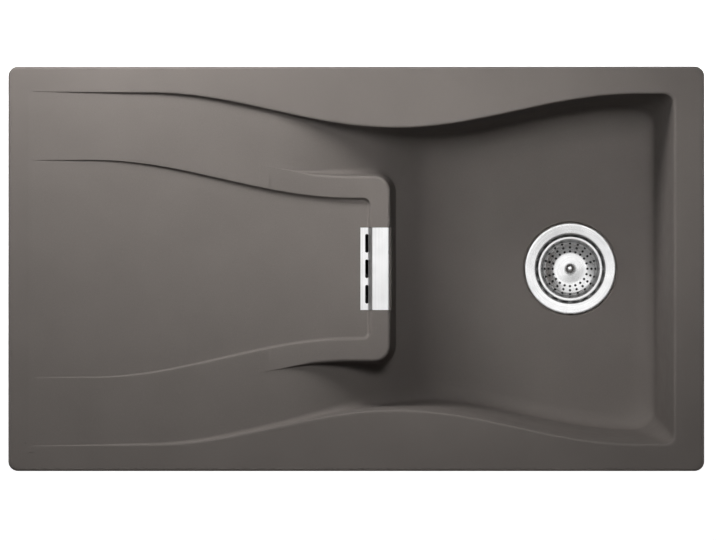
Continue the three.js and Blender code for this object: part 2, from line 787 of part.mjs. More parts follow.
/** Pocket under the cover, down through the pad, and its tunnel to the bowl. */
function overflowPocket() {
  const [halfX, halfY] = [POCKET_WIDTH / 2, POCKET_LENGTH / 2];
  const slotTop = RIDGE_END_TOP - LIP_SLOT_TOP + TUNNEL_MARGIN;
  const slotLow = slotTop - LIP_SLOT_HEIGHT - 2 * TUNNEL_MARGIN;
  const well = block(
    [OVERFLOW_X - halfX, -halfY, PAD_UNDER - BEYOND],
    [OVERFLOW_X + halfX, halfY, RIDGE_END_TOP],
  );
  const tunnel = block(
    [OVERFLOW_X, -TUNNEL_LENGTH / 2, slotLow],
    [RIDGE_END_X + BEYOND, TUNNEL_LENGTH / 2, slotTop],
  );
  return well.add(tunnel);
}

/** Thick pad round the overflow pocket, under the panel's end. */
function overflowPad() {
  const half = PAD_WIDTH / 2;
  return block(
    [OVERFLOW_X - half, -PAD_LENGTH / 2, PAD_UNDER],
    [RIDGE_END_X - WALL / 2, PAD_LENGTH / 2, panelFloorHeight(PANEL_END_X) - WALL / 4],
  );
}

/** Holes for the two screws of the overflow body. */
function overflowScrewHoles() {
  const radius = OVERFLOW_SCREW_RADIUS + SEAT_GAP;
  const top = PAD_UNDER + OVERFLOW_SCREW_BITE + PAST;
  const hole = ring(0, radius, PAD_UNDER - BEYOND, top, SMALL_SIDES, OVERFLOW_X);
  const up = hole.translate([0, OVERFLOW_SCREW_Y, 0]);
  return up.add(hole.translate([0, -OVERFLOW_SCREW_Y, 0]));
}

/** Where each clamp stands and the direction of the edge that it holds. */
function clampPlaces() {
  const sides = [1, -1].flatMap((side) => CLAMP_STATIONS.map((station) => ({
    x: LEFT + station,
    y: side * (WIDTH / 2 - CLAMP_EDGE_INSET),
    outward: (side * Math.PI) / 2,
  })));
  const ends = [
    { x: RIGHT - CLAMP_END_INSET, y: 0, outward: 0 },
    { x: LEFT + CLAMP_END_INSET, y: 0, outward: Math.PI },
  ];
  return [...sides, ...ends];
}

/** The whole moulding, in one closed body. */
function sinkMoulding() {
  const upper = surfaceGrid(upperHeight, 0);
  const lower = surfaceGrid(lowerHeight, WALL);
  const seatBoss = SEAT_RADIUS + DRAIN_BOSS_MARGIN;
  let body = slab(upper, lower).add(ridgeBody()).add(panelPan());
  body = body.subtract(underPanelSpace());
  body = body.add(ring(0, seatBoss, BOSS_UNDER, SEAT_Z + SEAT_DEPTH / 2, ROUND_SIDES, DRAIN_X));
  body = body.add(overflowPad());
  for (const { x, y } of clampPlaces()) {
    const half = CLAMP_BOSS_HALF;
    body = body.add(block([x - half, y - half, CLAMP_BOSS_UNDER], [x + half, y + half, RIM_UNDER + PAST]));
  }
  body = body.intersect(rimBlank()).subtract(panelHollow());
  body = body.subtract(ring(0, SEAT_RADIUS, SEAT_Z, SEAT_Z + WALL * 2, ROUND_SIDES, DRAIN_X));
  body = body.subtract(ring(0, DRAIN_HOLE_RADIUS, BOSS_UNDER - BEYOND, SEAT_Z + PAST, ROUND_SIDES, DRAIN_X));
  body = body.subtract(coverRebate()).subtract(overflowPocket()).subtract(overflowScrewHoles());
  for (const { x, y } of clampPlaces()) {
    const radius = CLAMP_SCREW_RADIUS + SEAT_GAP + CLAMP_INSERT_WALL + SEAT_GAP;
    const hole = ring(0, radius, CLAMP_BOSS_UNDER - PAST, CLAMP_HOLE_TOP, SMALL_SIDES);
    body = body.subtract(hole.translate([x, y, 0]));
  }
  for (const side of [1, -1]) {
    const top = RIM_UNDER + TAP_RECESS_DEPTH;
    const recess = ring(0, TAP_HOLE_RADIUS, RIM_UNDER - PAST, top, MEDIUM_SIDES, WAIST_X);
    body = body.subtract(recess.translate([0, side * (WIDTH / 2 - TAP_FROM_EDGE), 0]));
  }
  return body;
}

/** Soft seal between the rim and the worktop. */
function rimSeal() {
  const outline = (inset) => roundedOutline(LENGTH / 2 - inset, WIDTH / 2 - inset, PLAN_CORNER - inset);
  const shape = roundedShape(outline(SEAL_INSET), outline(SEAL_INSET + SEAL_WIDTH));
  return prism(shape, 0, SEAL_THICKNESS);
}

// ---------------------------------------------------------------- overflow

/** Folded steel cover with three slots in its foot and three in its lip. */
function overflowCover() {
  const path = coverPath();
  let body = runAcross([...path, ...offsetPath(path, SHEET).reverse()], COVER_WIDTH);
  const footZ = path[0][1];
  const footX = PANEL_END_X - COVER_RISE - SLOT_WIDTH - SLOT_SETBACK;
  const lipX = RIDGE_END_X - RIDGE_WIDTH / 2;
  const lipTop = RIDGE_END_TOP - LIP_SLOT_TOP;
  for (const y of [-SLOT_SPACING, 0, SLOT_SPACING]) {
    const [low, high] = [y - SLOT_LENGTH / 2, y + SLOT_LENGTH / 2];
    const foot = block([footX, low, footZ - 2 * SHEET], [footX + SLOT_WIDTH, high, footZ + SHEET]);
    const lip = block([lipX, low, lipTop - LIP_SLOT_HEIGHT], [RIDGE_END_X + SHEET, high, lipTop]);
    body = body.subtract(foot).subtract(lip);
  }
  return body;
}

/** Flat gasket between the pad and the overflow body. */
function overflowGasket() {
  const half = PAD_WIDTH / 2 - OVERFLOW_FLANGE_MARGIN;
  const halfLength = OVERFLOW_SCREW_Y - 2 * OVERFLOW_SCREW_RADIUS - OVERFLOW_FLANGE_MARGIN;
  const outer = roundedOutline(half, halfLength, half / 2, OVERFLOW_X);
  const opening = roundedOutline(POCKET_WIDTH / 2, POCKET_LENGTH / 2, POCKET_WIDTH / 4, OVERFLOW_X);
  return prism(roundedShape(outer, opening), OVERFLOW_FLANGE_TOP + SEAT_GAP, PAD_UNDER - SEAT_GAP);
}

/** Plastic overflow body: a screwed flange, a tray that narrows, and a round spigot. */
function overflowBody() {
  const half = PAD_WIDTH / 2 - OVERFLOW_FLANGE_MARGIN;
  const flange = roundedShape(roundedOutline(half, OVERFLOW_FLANGE_LENGTH / 2, half / 2, OVERFLOW_X));
  const [trayX, trayY] = [POCKET_WIDTH / 2 - SEAT_GAP, POCKET_LENGTH / 2 - SEAT_GAP];
  const tray = (extra, radius, top, bottom) => {
    const stations = [
      [trayX + extra, trayY + extra, trayX / 2 + extra, top],
      [trayX + extra, trayY + extra, trayX / 2 + extra, OVERFLOW_FLANGE_UNDER - OVERFLOW_DEPTH * TRAY_END],
      [radius, trayY / 2 + extra, radius, OVERFLOW_FLANGE_UNDER - OVERFLOW_DEPTH * TRAY_HALFWAY],
      [radius, radius, radius, OVERFLOW_FLANGE_UNDER - OVERFLOW_DEPTH * TRAY_ROUND],
      [radius, radius, radius, bottom],
    ];
    return skinned(stations.map(([halfX, halfY, corner, height]) => (
      atHeight(roundedOutline(halfX, halfY, corner, OVERFLOW_X), () => height)
    )));
  };
  const outside = tray(OVERFLOW_WALL, HOSE_RADIUS, OVERFLOW_FLANGE_TOP - OVERFLOW_FLANGE / 2, OVERFLOW_END_Z);
  const inside = tray(0, HOSE_RADIUS - OVERFLOW_WALL, OVERFLOW_FLANGE_TOP + BEYOND, OVERFLOW_END_Z - BEYOND);
  const screwHole = ring(
    0, OVERFLOW_SCREW_RADIUS + SEAT_GAP,
    OVERFLOW_FLANGE_UNDER - PAST, OVERFLOW_FLANGE_TOP + PAST, SMALL_SIDES, OVERFLOW_X,
  );
  return prism(flange, OVERFLOW_FLANGE_UNDER, OVERFLOW_FLANGE_TOP)
    .add(outside)
    .subtract(inside)
    .subtract(screwHole.translate([0, OVERFLOW_SCREW_Y, 0]))
    .subtract(screwHole.translate([0, -OVERFLOW_SCREW_Y, 0]));
}

/** Pan-head screw, its head's top at z = 0 under the flange and its shank pointing up. */
function panScrew(radius, headRadius, headHeight, reach) {
  return turned([
    [0, -headHeight],
    [headRadius * PAN_FLAT, -headHeight],
    [headRadius, -headHeight * PAN_SIDE],
    [headRadius, 0],
    [radius, 0],
    [radius, reach - radius],
    [0, reach],
  ], SMALL_SIDES);
}

/** Screw of the overflow body on one side. */
function overflowScrew(side) {
  const top = OVERFLOW_FLANGE_UNDER - SEAT_GAP;
  const reach = PAD_UNDER + OVERFLOW_SCREW_BITE - top;
  return panScrew(OVERFLOW_SCREW_RADIUS, OVERFLOW_SCREW_HEAD, OVERFLOW_SCREW_HEIGHT, reach)
    .translate([OVERFLOW_X, side * OVERFLOW_SCREW_Y, top]);
}

const SPIGOT_Z = SEAT_Z - SPIGOT_DROP;
const SPIGOT_END_X = DRAIN_X - BODY_RADIUS - BODY_WALL - SPIGOT_LENGTH;

/** Hose centreline: straight down, a quarter bend, then level to the waste's spigot. */
function hoseRoute() {
  const start = new THREE.Vector3(OVERFLOW_X, 0, OVERFLOW_END_Z - SEAT_GAP);
  const bendTop = new THREE.Vector3(OVERFLOW_X, 0, SPIGOT_Z + HOSE_BEND);
  const bendEnd = new THREE.Vector3(OVERFLOW_X + HOSE_BEND, 0, SPIGOT_Z);
  const end = new THREE.Vector3(SPIGOT_END_X - SEAT_GAP, 0, SPIGOT_Z);
  const down = start.distanceTo(bendTop);
  const round = (HOSE_BEND * Math.PI) / 2;
  const level = bendEnd.distanceTo(end);
  const at = (length) => {
    const turn = clamp((length - down) / round, 0, 1) * (Math.PI / 2);
    const along = new THREE.Vector3(Math.sin(turn), 0, -Math.cos(turn));
    const across = new THREE.Vector3(Math.cos(turn), 0, Math.sin(turn));
    if (length <= down) {
      return { point: start.clone().addScaledVector(along, length), across };
    }
    if (length >= down + round) {
      return { point: bendEnd.clone().addScaledVector(along, length - down - round), across };
    }
    const centre = new THREE.Vector3(OVERFLOW_X + HOSE_BEND, 0, SPIGOT_Z + HOSE_BEND);
    return { point: centre.addScaledVector(across, -HOSE_BEND), across };
  };
  return { length: down + round + level, at };
}

/** Ribbed hose with its bore, smooth for one diameter at each end. */
function overflowHose() {
  const route = hoseRoute();
  const cuff = 2 * HOSE_RADIUS;
  const ribs = Math.floor((route.length - 2 * cuff) / HOSE_PITCH);
  const pitch = (route.length - 2 * cuff) / ribs;
  const root = HOSE_RADIUS - HOSE_RIB_DEPTH;
  const bore = root - HOSE_WALL;
  const outside = [[0, HOSE_RADIUS], [cuff, HOSE_RADIUS]];
  const inside = [[0, bore], [cuff, bore]];
  for (let i = 0; i < ribs; i += 1) {
    outside.push([cuff + (i + 0.25) * pitch, root], [cuff + (i + 0.75) * pitch, HOSE_RADIUS]);
    if ((i + 1) % BEND_STEPS_PER_RIB === 0 && i + 1 < ribs) {
      inside.push([cuff + (i + 1) * pitch, bore]);
    }
  }
  outside.push([route.length, HOSE_RADIUS]);
  inside.push([route.length - cuff, bore], [route.length, bore]);
  const loop = [...outside, ...inside.reverse()];
  const points = loop.flatMap(([length, radius]) => {
    const { point, across } = route.at(length);
    return Array.from({ length: HOSE_SIDES }, (_, i) => {
      const angle = (2 * Math.PI * i) / HOSE_SIDES;
      const spot = point.clone().addScaledVector(across, radius * Math.cos(angle));
      return [spot.x, radius * Math.sin(angle), spot.z];
    });
  });
  const triangles = [];
  for (let ringIndex = 0; ringIndex < loop.length; ringIndex += 1) {
    const next = ((ringIndex + 1) % loop.length) * HOSE_SIDES;
    for (let i = 0; i < HOSE_SIDES; i += 1) {
      const [a, b] = [ringIndex * HOSE_SIDES + i, ringIndex * HOSE_SIDES + ((i + 1) % HOSE_SIDES)];
      const [c, d] = [next + ((i + 1) % HOSE_SIDES), next + i];
      triangles.push([a, b, c], [a, c, d]);
    }
  }
  return faceted(points, triangles);
}

/** Hose nut about the Z axis, overlapping the spigot above z = 0 and the hose below. */
function hoseNut() {
  const inner = HOSE_RADIUS + BORE_GAP;
  return ring(inner, inner + NUT_WALL, NUT_OVERLAP - NUT_LENGTH, NUT_OVERLAP, 2 * SMALL_SIDES);
}

/** Nut at the overflow body. */
function upperHoseNut() {
  return hoseNut().translate([OVERFLOW_X, 0, OVERFLOW_END_Z]);
}

/** Nut at the waste's side spigot. */
function lowerHoseNut() {
  return hoseNut().rotate([0, 90, 0]).translate([SPIGOT_END_X, 0, SPIGOT_Z]);
}

// ---------------------------------------------------------------- strainer waste

const CUP_FLOOR_Z = SEAT_Z - CUP_DEPTH;
const WELL_Z = CUP_FLOOR_Z - WELL_DEPTH;
const FLANGE_UNDER = SEAT_Z + 2 * SEAT_GAP + FLANGE_GASKET;
const FLANGE_TOP = FLANGE_UNDER + FLANGE_THICKNESS;
const BODY_TOP = BOSS_UNDER - 2 * SEAT_GAP - BODY_GASKET;
const SHANK_HOLE = BOLT_RADIUS + BORE_GAP;

/** Pressed steel strainer: flange, cup, centre well and six openings. */
function strainerFlange() {
  const roll = CUP_TOP_RADIUS + CUP_SHEET;
  let body = turned([
    [SHANK_HOLE, WELL_Z],
    [WELL_RADIUS, WELL_Z],
    [WELL_RADIUS, CUP_FLOOR_Z],
    [CUP_FLOOR_RADIUS - CUP_CORNER, CUP_FLOOR_Z],
    [CUP_FLOOR_RADIUS, CUP_FLOOR_Z + CUP_CORNER],
    [CUP_TOP_RADIUS, FLANGE_UNDER - CUP_SHEET],
    [CUP_TOP_RADIUS + FLANGE_ROLL, FLANGE_TOP - FLANGE_ROLL],
    [roll + FLANGE_ROLL, FLANGE_TOP],
    [FLANGE_RADIUS - FLANGE_EDGE, FLANGE_TOP - FLANGE_CROWN],
    [FLANGE_RADIUS, FLANGE_UNDER + FLANGE_ROLL],
    [FLANGE_RADIUS - FLANGE_ROLL, FLANGE_UNDER],
    [roll, FLANGE_UNDER],
    [roll, FLANGE_UNDER - CUP_SHEET],
    [CUP_FLOOR_RADIUS + CUP_SHEET, CUP_FLOOR_Z + CUP_CORNER],
    [CUP_FLOOR_RADIUS - CUP_CORNER / 2, CUP_FLOOR_Z - CUP_SHEET],
    [WELL_RADIUS + CUP_SHEET, CUP_FLOOR_Z - CUP_SHEET],
    [WELL_RADIUS + CUP_SHEET, WELL_Z - CUP_SHEET],
    [SHANK_HOLE, WELL_Z - CUP_SHEET],
  ], ROUND_SIDES);
  const [low, high] = [CUP_FLOOR_Z - CUP_SHEET - PAST, CUP_FLOOR_Z + PAST];
  const hole = ring(0, CUP_HOLE_RADIUS, low, high, SMALL_SIDES, CUP_HOLE_CIRCLE);
  for (let i = 0; i < CUP_HOLES; i += 1) {
    body = body.subtract(hole.rotate([0, 0, (360 * i) / CUP_HOLES]));
  }
  return body.translate([DRAIN_X, 0, 0]);
}

/** Gasket between the flange and its seat. */
function flangeGasket() {
  const [inner, outer] = [DRAIN_HOLE_RADIUS + SEAL_INSET, FLANGE_RADIUS - 1];
  return ring(inner, outer, SEAT_Z + SEAT_GAP, FLANGE_UNDER - SEAT_GAP, ROUND_SIDES, DRAIN_X);
}

/** Gasket between the moulding's boss and the waste body. */
function bodyGasket() {
  const [inner, outer] = [DRAIN_HOLE_RADIUS + SEAL_INSET, BODY_FLANGE_RADIUS - 1];
  return ring(inner, outer, BODY_TOP + SEAT_GAP, BOSS_UNDER - SEAT_GAP, ROUND_SIDES, DRAIN_X);
}

/** Plastic waste body: flange, chamber, cone, threaded neck, hub on spokes and side spigot. */
function wasteBody() {
  const wide = BODY_RADIUS + BODY_WALL;
  const neck = NECK_RADIUS + NECK_WALL;
  const depth = (value) => SEAT_Z - value;
  const threadTop = depth(WASTE_DEPTH - THREAD_PITCH / 2) + THREADS * THREAD_PITCH;
  const threads = [];
  for (let i = 0; i < THREADS; i += 1) {
    const z = threadTop - i * THREAD_PITCH;
    threads.push([neck, z], [neck + THREAD_HEIGHT, z - THREAD_PITCH / 4], [neck, z - THREAD_PITCH / 2]);
  }
  const outside = turned([
    [0, BODY_TOP],
    [BODY_FLANGE_RADIUS, BODY_TOP],
    [BODY_FLANGE_RADIUS, BODY_TOP - BODY_FLANGE],
    [wide, BODY_TOP - BODY_FLANGE],
    [wide, depth(BODY_CYLINDER)],
    [neck, depth(NECK_TOP)],
    ...threads,
    [neck, depth(WASTE_DEPTH)],
    [0, depth(WASTE_DEPTH)],
  ], MEDIUM_SIDES);
  const inside = turned([
    [0, BODY_TOP + BEYOND],
    [BODY_RADIUS, BODY_TOP + BEYOND],
    [BODY_RADIUS, depth(BODY_CYLINDER - BODY_WALL / 2)],
    [NECK_RADIUS, depth(NECK_TOP + BODY_WALL / 2)],
    [NECK_RADIUS, depth(WASTE_DEPTH + BEYOND)],
    [0, depth(WASTE_DEPTH + BEYOND)],
  ], MEDIUM_SIDES);
  let hub = ring(0, HUB_RADIUS, depth(HUB_UNDER), depth(HUB_TOP), MEDIUM_SIDES);
  for (let i = 0; i < SPOKES; i += 1) {
    const spoke = block(
      [0, -SPOKE_WIDTH / 2, depth(HUB_UNDER)],
      [BODY_RADIUS + PAST, SPOKE_WIDTH / 2, depth(HUB_TOP + PAST)],
    );
    hub = hub.add(spoke.rotate([0, 0, (360 * (i + 0.5)) / SPOKES]));
  }
  const insertHole = INSERT_RADIUS + SEAT_GAP;
  const insertTop = depth(HUB_TOP + INSERT_COVER) + SEAT_GAP;
  const spigotRun = SPIGOT_LENGTH + BODY_WALL + BODY_RADIUS;
  const level = (solidBody) => solidBody.rotate([0, -90, 0]).translate([0, 0, SPIGOT_Z]);
  return outside
    .add(level(ring(0, HOSE_RADIUS, BODY_RADIUS + PAST, spigotRun, 2 * SMALL_SIDES)))
    .subtract(inside.subtract(hub))
    .subtract(level(ring(0, SPIGOT_BORE, BODY_RADIUS / 2, spigotRun + PAST, 2 * SMALL_SIDES)))
    .subtract(ring(0, SHANK_HOLE, depth(HUB_UNDER + PAST), depth(HUB_TOP - PAST), MEDIUM_SIDES))
    .subtract(ring(0, insertHole, depth(HUB_UNDER + PAST), insertTop, MEDIUM_SIDES))
    .translate([DRAIN_X, 0, 0]);
}

/** Brass insert in the hub. */
function wasteInsert() {
  const top = SEAT_Z - HUB_TOP - INSERT_COVER;
  return ring(BOLT_RADIUS + SEAT_GAP, INSERT_RADIUS, top - INSERT_LENGTH, top, MEDIUM_SIDES, DRAIN_X);
}

const BOLT_SEAT_Z = WELL_Z + 2 * SEAT_GAP + BOLT_WASHER;
const SLEEVE_INNER = STEM_RADIUS + SEAT_GAP;
const BOLT_BORE = SLEEVE_INNER + SLEEVE_WALL + SEAT_GAP;

/** Steel bolt, its head in the well and its bore open for the basket's stem. */
function fixingBolt() {
  const top = BOLT_SEAT_Z + BOLT_HEAD_HEIGHT;
  return turned([
    [0, BOLT_SEAT_Z - BOLT_LENGTH],
    [BOLT_RADIUS, BOLT_SEAT_Z - BOLT_LENGTH],
    [BOLT_RADIUS, BOLT_SEAT_Z],
    [BOLT_HEAD_RADIUS, BOLT_SEAT_Z],
    [BOLT_HEAD_RADIUS, top - BOLT_CHAMFER],
    [BOLT_HEAD_RADIUS - BOLT_CHAMFER, top],
    [BOLT_BORE, top],
    [BOLT_BORE, BOLT_SEAT_Z - BOLT_BORE_DEPTH],
    [0, BOLT_SEAT_Z - BOLT_BORE_DEPTH],
  ], 2 * SMALL_SIDES, DRAIN_X);
}

/** Washer under the bolt's head. */
function boltWasher() {
  const bottom = WELL_Z + SEAT_GAP;
  return ring(SHANK_HOLE, WELL_RADIUS - SEAT_GAP, bottom, bottom + BOLT_WASHER, 2 * SMALL_SIDES, DRAIN_X);
}

// ---------------------------------------------------------------- basket

const STEM_TOP = SEAT_Z - KNOB_CENTRE - STEM_BELOW_CENTRE;

/** Height of the basket floor's upper face: crowned at the centre, then a cone that rises to the wall. */
function basketFloor(radius) {
  const crown = BASKET_CROWN * swell(radius / BASKET_CONE_RADIUS);
  const along = (radius - BASKET_CENTRE_RADIUS) / (BASKET_CONE_RADIUS - BASKET_CENTRE_RADIUS);
  return SEAT_Z - BASKET_DEPTH + crown + BASKET_CONE_RISE * Math.max(along, 0);
}

/** Perforated steel basket with a rolled bead. */
function basketShell() {
  const bead = SEAT_Z - BEAD_TOP;
  const floor = [STEM_RADIUS + SEAT_GAP, BASKET_CENTRE_RADIUS, BASKET_CONE_RADIUS];
  const foot = BASKET_RADIUS - BASKET_FOOT;
  const footZ = basketFloor(BASKET_CONE_RADIUS) + BASKET_SHOULDER;
  let body = turned([
    ...floor.map((radius) => [radius, basketFloor(radius)]),
    [foot, footZ],
    [BASKET_RADIUS - BASKET_SHEET, bead - BEAD_HEIGHT],
    [BASKET_RADIUS, bead - BEAD_HEIGHT * BEAD_ROUND],
    [BASKET_RADIUS + BEAD_WIDTH * BEAD_ROUND, bead],
    [BASKET_RADIUS + BEAD_WIDTH, bead - BEAD_HEIGHT * BEAD_ROUND],
    [BASKET_RADIUS + BEAD_WIDTH, bead - BEAD_HEIGHT],
    [BASKET_RADIUS, bead - BEAD_HEIGHT],
    [foot + BASKET_SHEET, footZ - BASKET_SHEET / 2],
    ...floor.reverse().map((radius) => [radius, basketFloor(radius) - BASKET_SHEET]),
  ], 2 * HOLES_PER_RING);
  const low = basketFloor(BASKET_CONE_RADIUS) - BEYOND;
  for (let level = 0; level < HOLE_RINGS; level += 1) {
    const circle = HOLE_RING_FIRST + level * HOLE_RING_STEP;
    const hole = ring(0, HOLE_RADIUS, low, low + 2 * BEYOND, HOLE_SIDES, circle);
    for (let i = 0; i < HOLES_PER_RING; i += 1) {
      body = body.subtract(hole.rotate([0, 0, (360 * i) / HOLES_PER_RING]));
    }
  }
  return body.translate([DRAIN_X, 0, 0]);
}

/** Round knob on top of the stem. */
function basketKnob() {
  const centre = SEAT_Z - KNOB_CENTRE;
  const hole = STEM_RADIUS + SEAT_GAP;
  const low = basketFloor(0) + SEAT_GAP;
  const start = Math.asin(KNOB_NECK / KNOB_RADIUS);
  const ball = Array.from({ length: KNOB_STEPS }, (_, i) => {
    const angle = lerp(start, Math.PI, i / KNOB_STEPS);
    return [KNOB_RADIUS * Math.sin(angle), centre - KNOB_RADIUS * Math.cos(angle)];
  });
  return turned([
    [hole, low],
    [KNOB_NECK + KNOB_FOOT, low],
    [KNOB_NECK + KNOB_FOOT, low + KNOB_FOOT],
    [KNOB_NECK, low + 2 * KNOB_FOOT],
    ...ball,
    [0, centre + KNOB_RADIUS],
    [0, STEM_TOP + SEAT_GAP],
    [hole, STEM_TOP + SEAT_GAP],
  ], 2 * SMALL_SIDES, DRAIN_X);
}

/** Stem from the knob down into the catch sleeve. */
function basketStem() {
  const bottom = SEAT_Z - STEM_DEPTH;
  return turned([
    [0, bottom],
    [STEM_RADIUS - STEM_TIP, bottom],
    [STEM_RADIUS, bottom + STEM_TIP],
    [STEM_RADIUS, STEM_TOP],
    [0, STEM_TOP],
  ], SMALL_SIDES, DRAIN_X);
}

/** Rubber stopper that lies over the cup's openings. */
function stopperSeal() {
  const bottom = CUP_FLOOR_Z + SEAT_GAP;
  const top = bottom + STOPPER_THICKNESS;
  return turned([
    [STEM_RADIUS + SEAT_GAP, bottom],
    [STOPPER_RADIUS - STOPPER_EDGE, bottom],
    [STOPPER_RADIUS, bottom + STOPPER_EDGE],
    [STOPPER_RADIUS - STOPPER_EDGE, top - STOPPER_EDGE / 2],
    [STOPPER_WASHER_RADIUS + STOPPER_EDGE, top],
    [STEM_RADIUS + SEAT_GAP, top],
  ], MEDIUM_SIDES, DRAIN_X);
}

/** Spacer washer between the stopper and the basket's floor. */
function stopperWasher() {
  const bottom = CUP_FLOOR_Z + 2 * SEAT_GAP + STOPPER_THICKNESS;
  const top = basketFloor(STOPPER_WASHER_RADIUS) - BASKET_SHEET - SEAT_GAP;
  return ring(STEM_RADIUS + SEAT_GAP, STOPPER_WASHER_RADIUS, bottom, top, 2 * SMALL_SIDES, DRAIN_X);
}

/** Nylon catch sleeve in the bolt's bore, which grips the stem's tip. */
function catchSleeve() {
  const top = BOLT_SEAT_Z + BOLT_HEAD_HEIGHT - BOLT_CHAMFER;
  return ring(SLEEVE_INNER, SLEEVE_INNER + SLEEVE_WALL, top - SLEEVE_LENGTH, top, SMALL_SIDES, DRAIN_X);
}

// ---------------------------------------------------------------- clamps

const CLAMP_BASE_Z = CLAMP_BOSS_UNDER - CLAMP_DROP;

/** Bent steel clamp about its screw's axis, its arm along +X and its tooth pointing up. */
function clampBracket() {
  const half = CLAMP_WIDTH / 2;
  const shape = new THREE.Shape();
  shape.moveTo(0, -half);
  shape.lineTo(CLAMP_ARM, -half);
  shape.lineTo(CLAMP_ARM, half);
  shape.lineTo(0, half);
  shape.absarc(0, 0, half, Math.PI / 2, (3 * Math.PI) / 2, false);
  const plate = prism(shape, CLAMP_BASE_Z - CLAMP_PLATE, CLAMP_BASE_Z);
  const tooth = block(
    [CLAMP_ARM - CLAMP_PLATE, -half, CLAMP_BASE_Z - CLAMP_PLATE],
    [CLAMP_ARM, half, CLAMP_BASE_Z + CLAMP_TOOTH],
  );
  const [low, high] = [CLAMP_BASE_Z - CLAMP_PLATE - PAST, CLAMP_BASE_Z + PAST];
  const hole = ring(0, CLAMP_SCREW_RADIUS + BORE_GAP, low, high, SMALL_SIDES);
  return plate.add(tooth).subtract(hole);
}

/** Clamp screw about its axis, from its head under the bracket up through the insert. */
function clampScrew() {
  const top = CLAMP_BASE_Z - CLAMP_PLATE - SEAT_GAP;
  const reach = CLAMP_BOSS_UNDER + CLAMP_SCREW_OVERRUN - top;
  return panScrew(CLAMP_SCREW_RADIUS, CLAMP_HEAD_RADIUS, CLAMP_HEAD_HEIGHT, reach).translate([0, 0, top]);
}

/** Threaded brass insert in a clamp boss. */
function clampInsert() {
  const inner = CLAMP_SCREW_RADIUS + SEAT_GAP;
  const [bottom, top] = [CLAMP_BOSS_UNDER, CLAMP_BOSS_UNDER + CLAMP_INSERT_LENGTH];
  return ring(inner, inner + CLAMP_INSERT_WALL, bottom, top, SMALL_SIDES);
}

/** One clamp in its place, stowed along the edge. */
function clampSet({ x, y, outward }, number) {
  const set = new THREE.Group();
  set.position.set(x, y, 0);
  set.rotation.z = outward - Math.PI / 2;
  set.add(
    piece(`clamp_${number}`, clampBracket(), ZINCED_STEEL()),
    piece(`clamp_screw_${number}`, clampScrew(), ZINCED_STEEL()),
    piece(`clamp_insert_${number}`, clampInsert(), BRASS()),
  );
  return set;
}

// ---------------------------------------------------------------- materials

/** Maker of a standard material of one colour. */
const finish = (color, roughness, metalness) => (
  () => new THREE.MeshStandardMaterial({ color, roughness, metalness })
);

const COMPOSITE = finish(0x67625e, 0.7, 0);
const SATIN_STEEL = finish(0xd9dbdc, 0.32, 1);
const POLISHED_STEEL = finish(0xc9cbcd, 0.18, 1);
const ZINCED_STEEL = finish(0xaab0b4, 0.4, 1);
const BRASS = finish(0xb08d4c, 0.35, 1);
const RUBBER = finish(0x1d1d1e, 0.85, 0);
const WHITE_PLASTIC = finish(0xe6e6e2, 0.5, 0);
const GREY_PLASTIC = finish(0x8c8f92, 0.5, 0);
const BLACK_PLASTIC = finish(0x26272a, 0.5, 0);

// ---------------------------------------------------------------- the sink

const sink = new THREE.Group();
sink.add(
  piece('sink_moulding', sinkMoulding(), COMPOSITE()),
  piece('rim_seal', rimSeal(), RUBBER()),
  piece('overflow_cover', overflowCover(), SATIN_STEEL()),
  piece('overflow_gasket', overflowGasket(), RUBBER()),
  piece('overflow_body', overflowBody(), BLACK_PLASTIC()),
  piece('overflow_screw_1', overflowScrew(1), ZINCED_STEEL()),
  piece('overflow_screw_2', overflowScrew(-1), ZINCED_STEEL()),
  piece('overflow_hose', overflowHose(), GREY_PLASTIC()),
  piece('hose_nut_upper', upperHoseNut(), BLACK_PLASTIC()),
  piece('hose_nut_lower', lowerHoseNut(), BLACK_PLASTIC()),
  piece('strainer_flange', strainerFlange(), POLISHED_STEEL()),
  piece('flange_gasket', flangeGasket(), RUBBER()),
  piece('body_gasket', bodyGasket(), RUBBER()),
  piece('waste_body', wasteBody(), WHITE_PLASTIC()),
  piece('waste_insert', wasteInsert(), BRASS()),
  piece('fixing_bolt', fixingBolt(), POLISHED_STEEL()),
  piece('bolt_washer', boltWasher(), POLISHED_STEEL()),
  piece('basket', basketShell(), POLISHED_STEEL()),
  piece('basket_knob', basketKnob(), POLISHED_STEEL()),
  piece('basket_stem', basketStem(), POLISHED_STEEL()),
  piece('stopper_seal', stopperSeal(), RUBBER()),
  piece('stopper_washer', stopperWasher(), WHITE_PLASTIC()),
  piece('catch_sleeve', catchSleeve(), WHITE_PLASTIC()),
  ...clampPlaces().map((place, i) => clampSet(place, i + 1)),
);

export default sink;
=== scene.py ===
"""Kitchen sink with drainboard: its pieces in full detail, each in place of its plain solid.

Sizes are in millimetres in the model's own frame: +X from the drainboard to the bowl, +Z up,
z = 0 on the worktop. Meshes are written in metres in that frame.
"""

import logging
import math
from collections.abc import Callable
from dataclasses import dataclass, field
from enum import Enum

import bpy
import numpy as np
from mathutils import Matrix, Vector


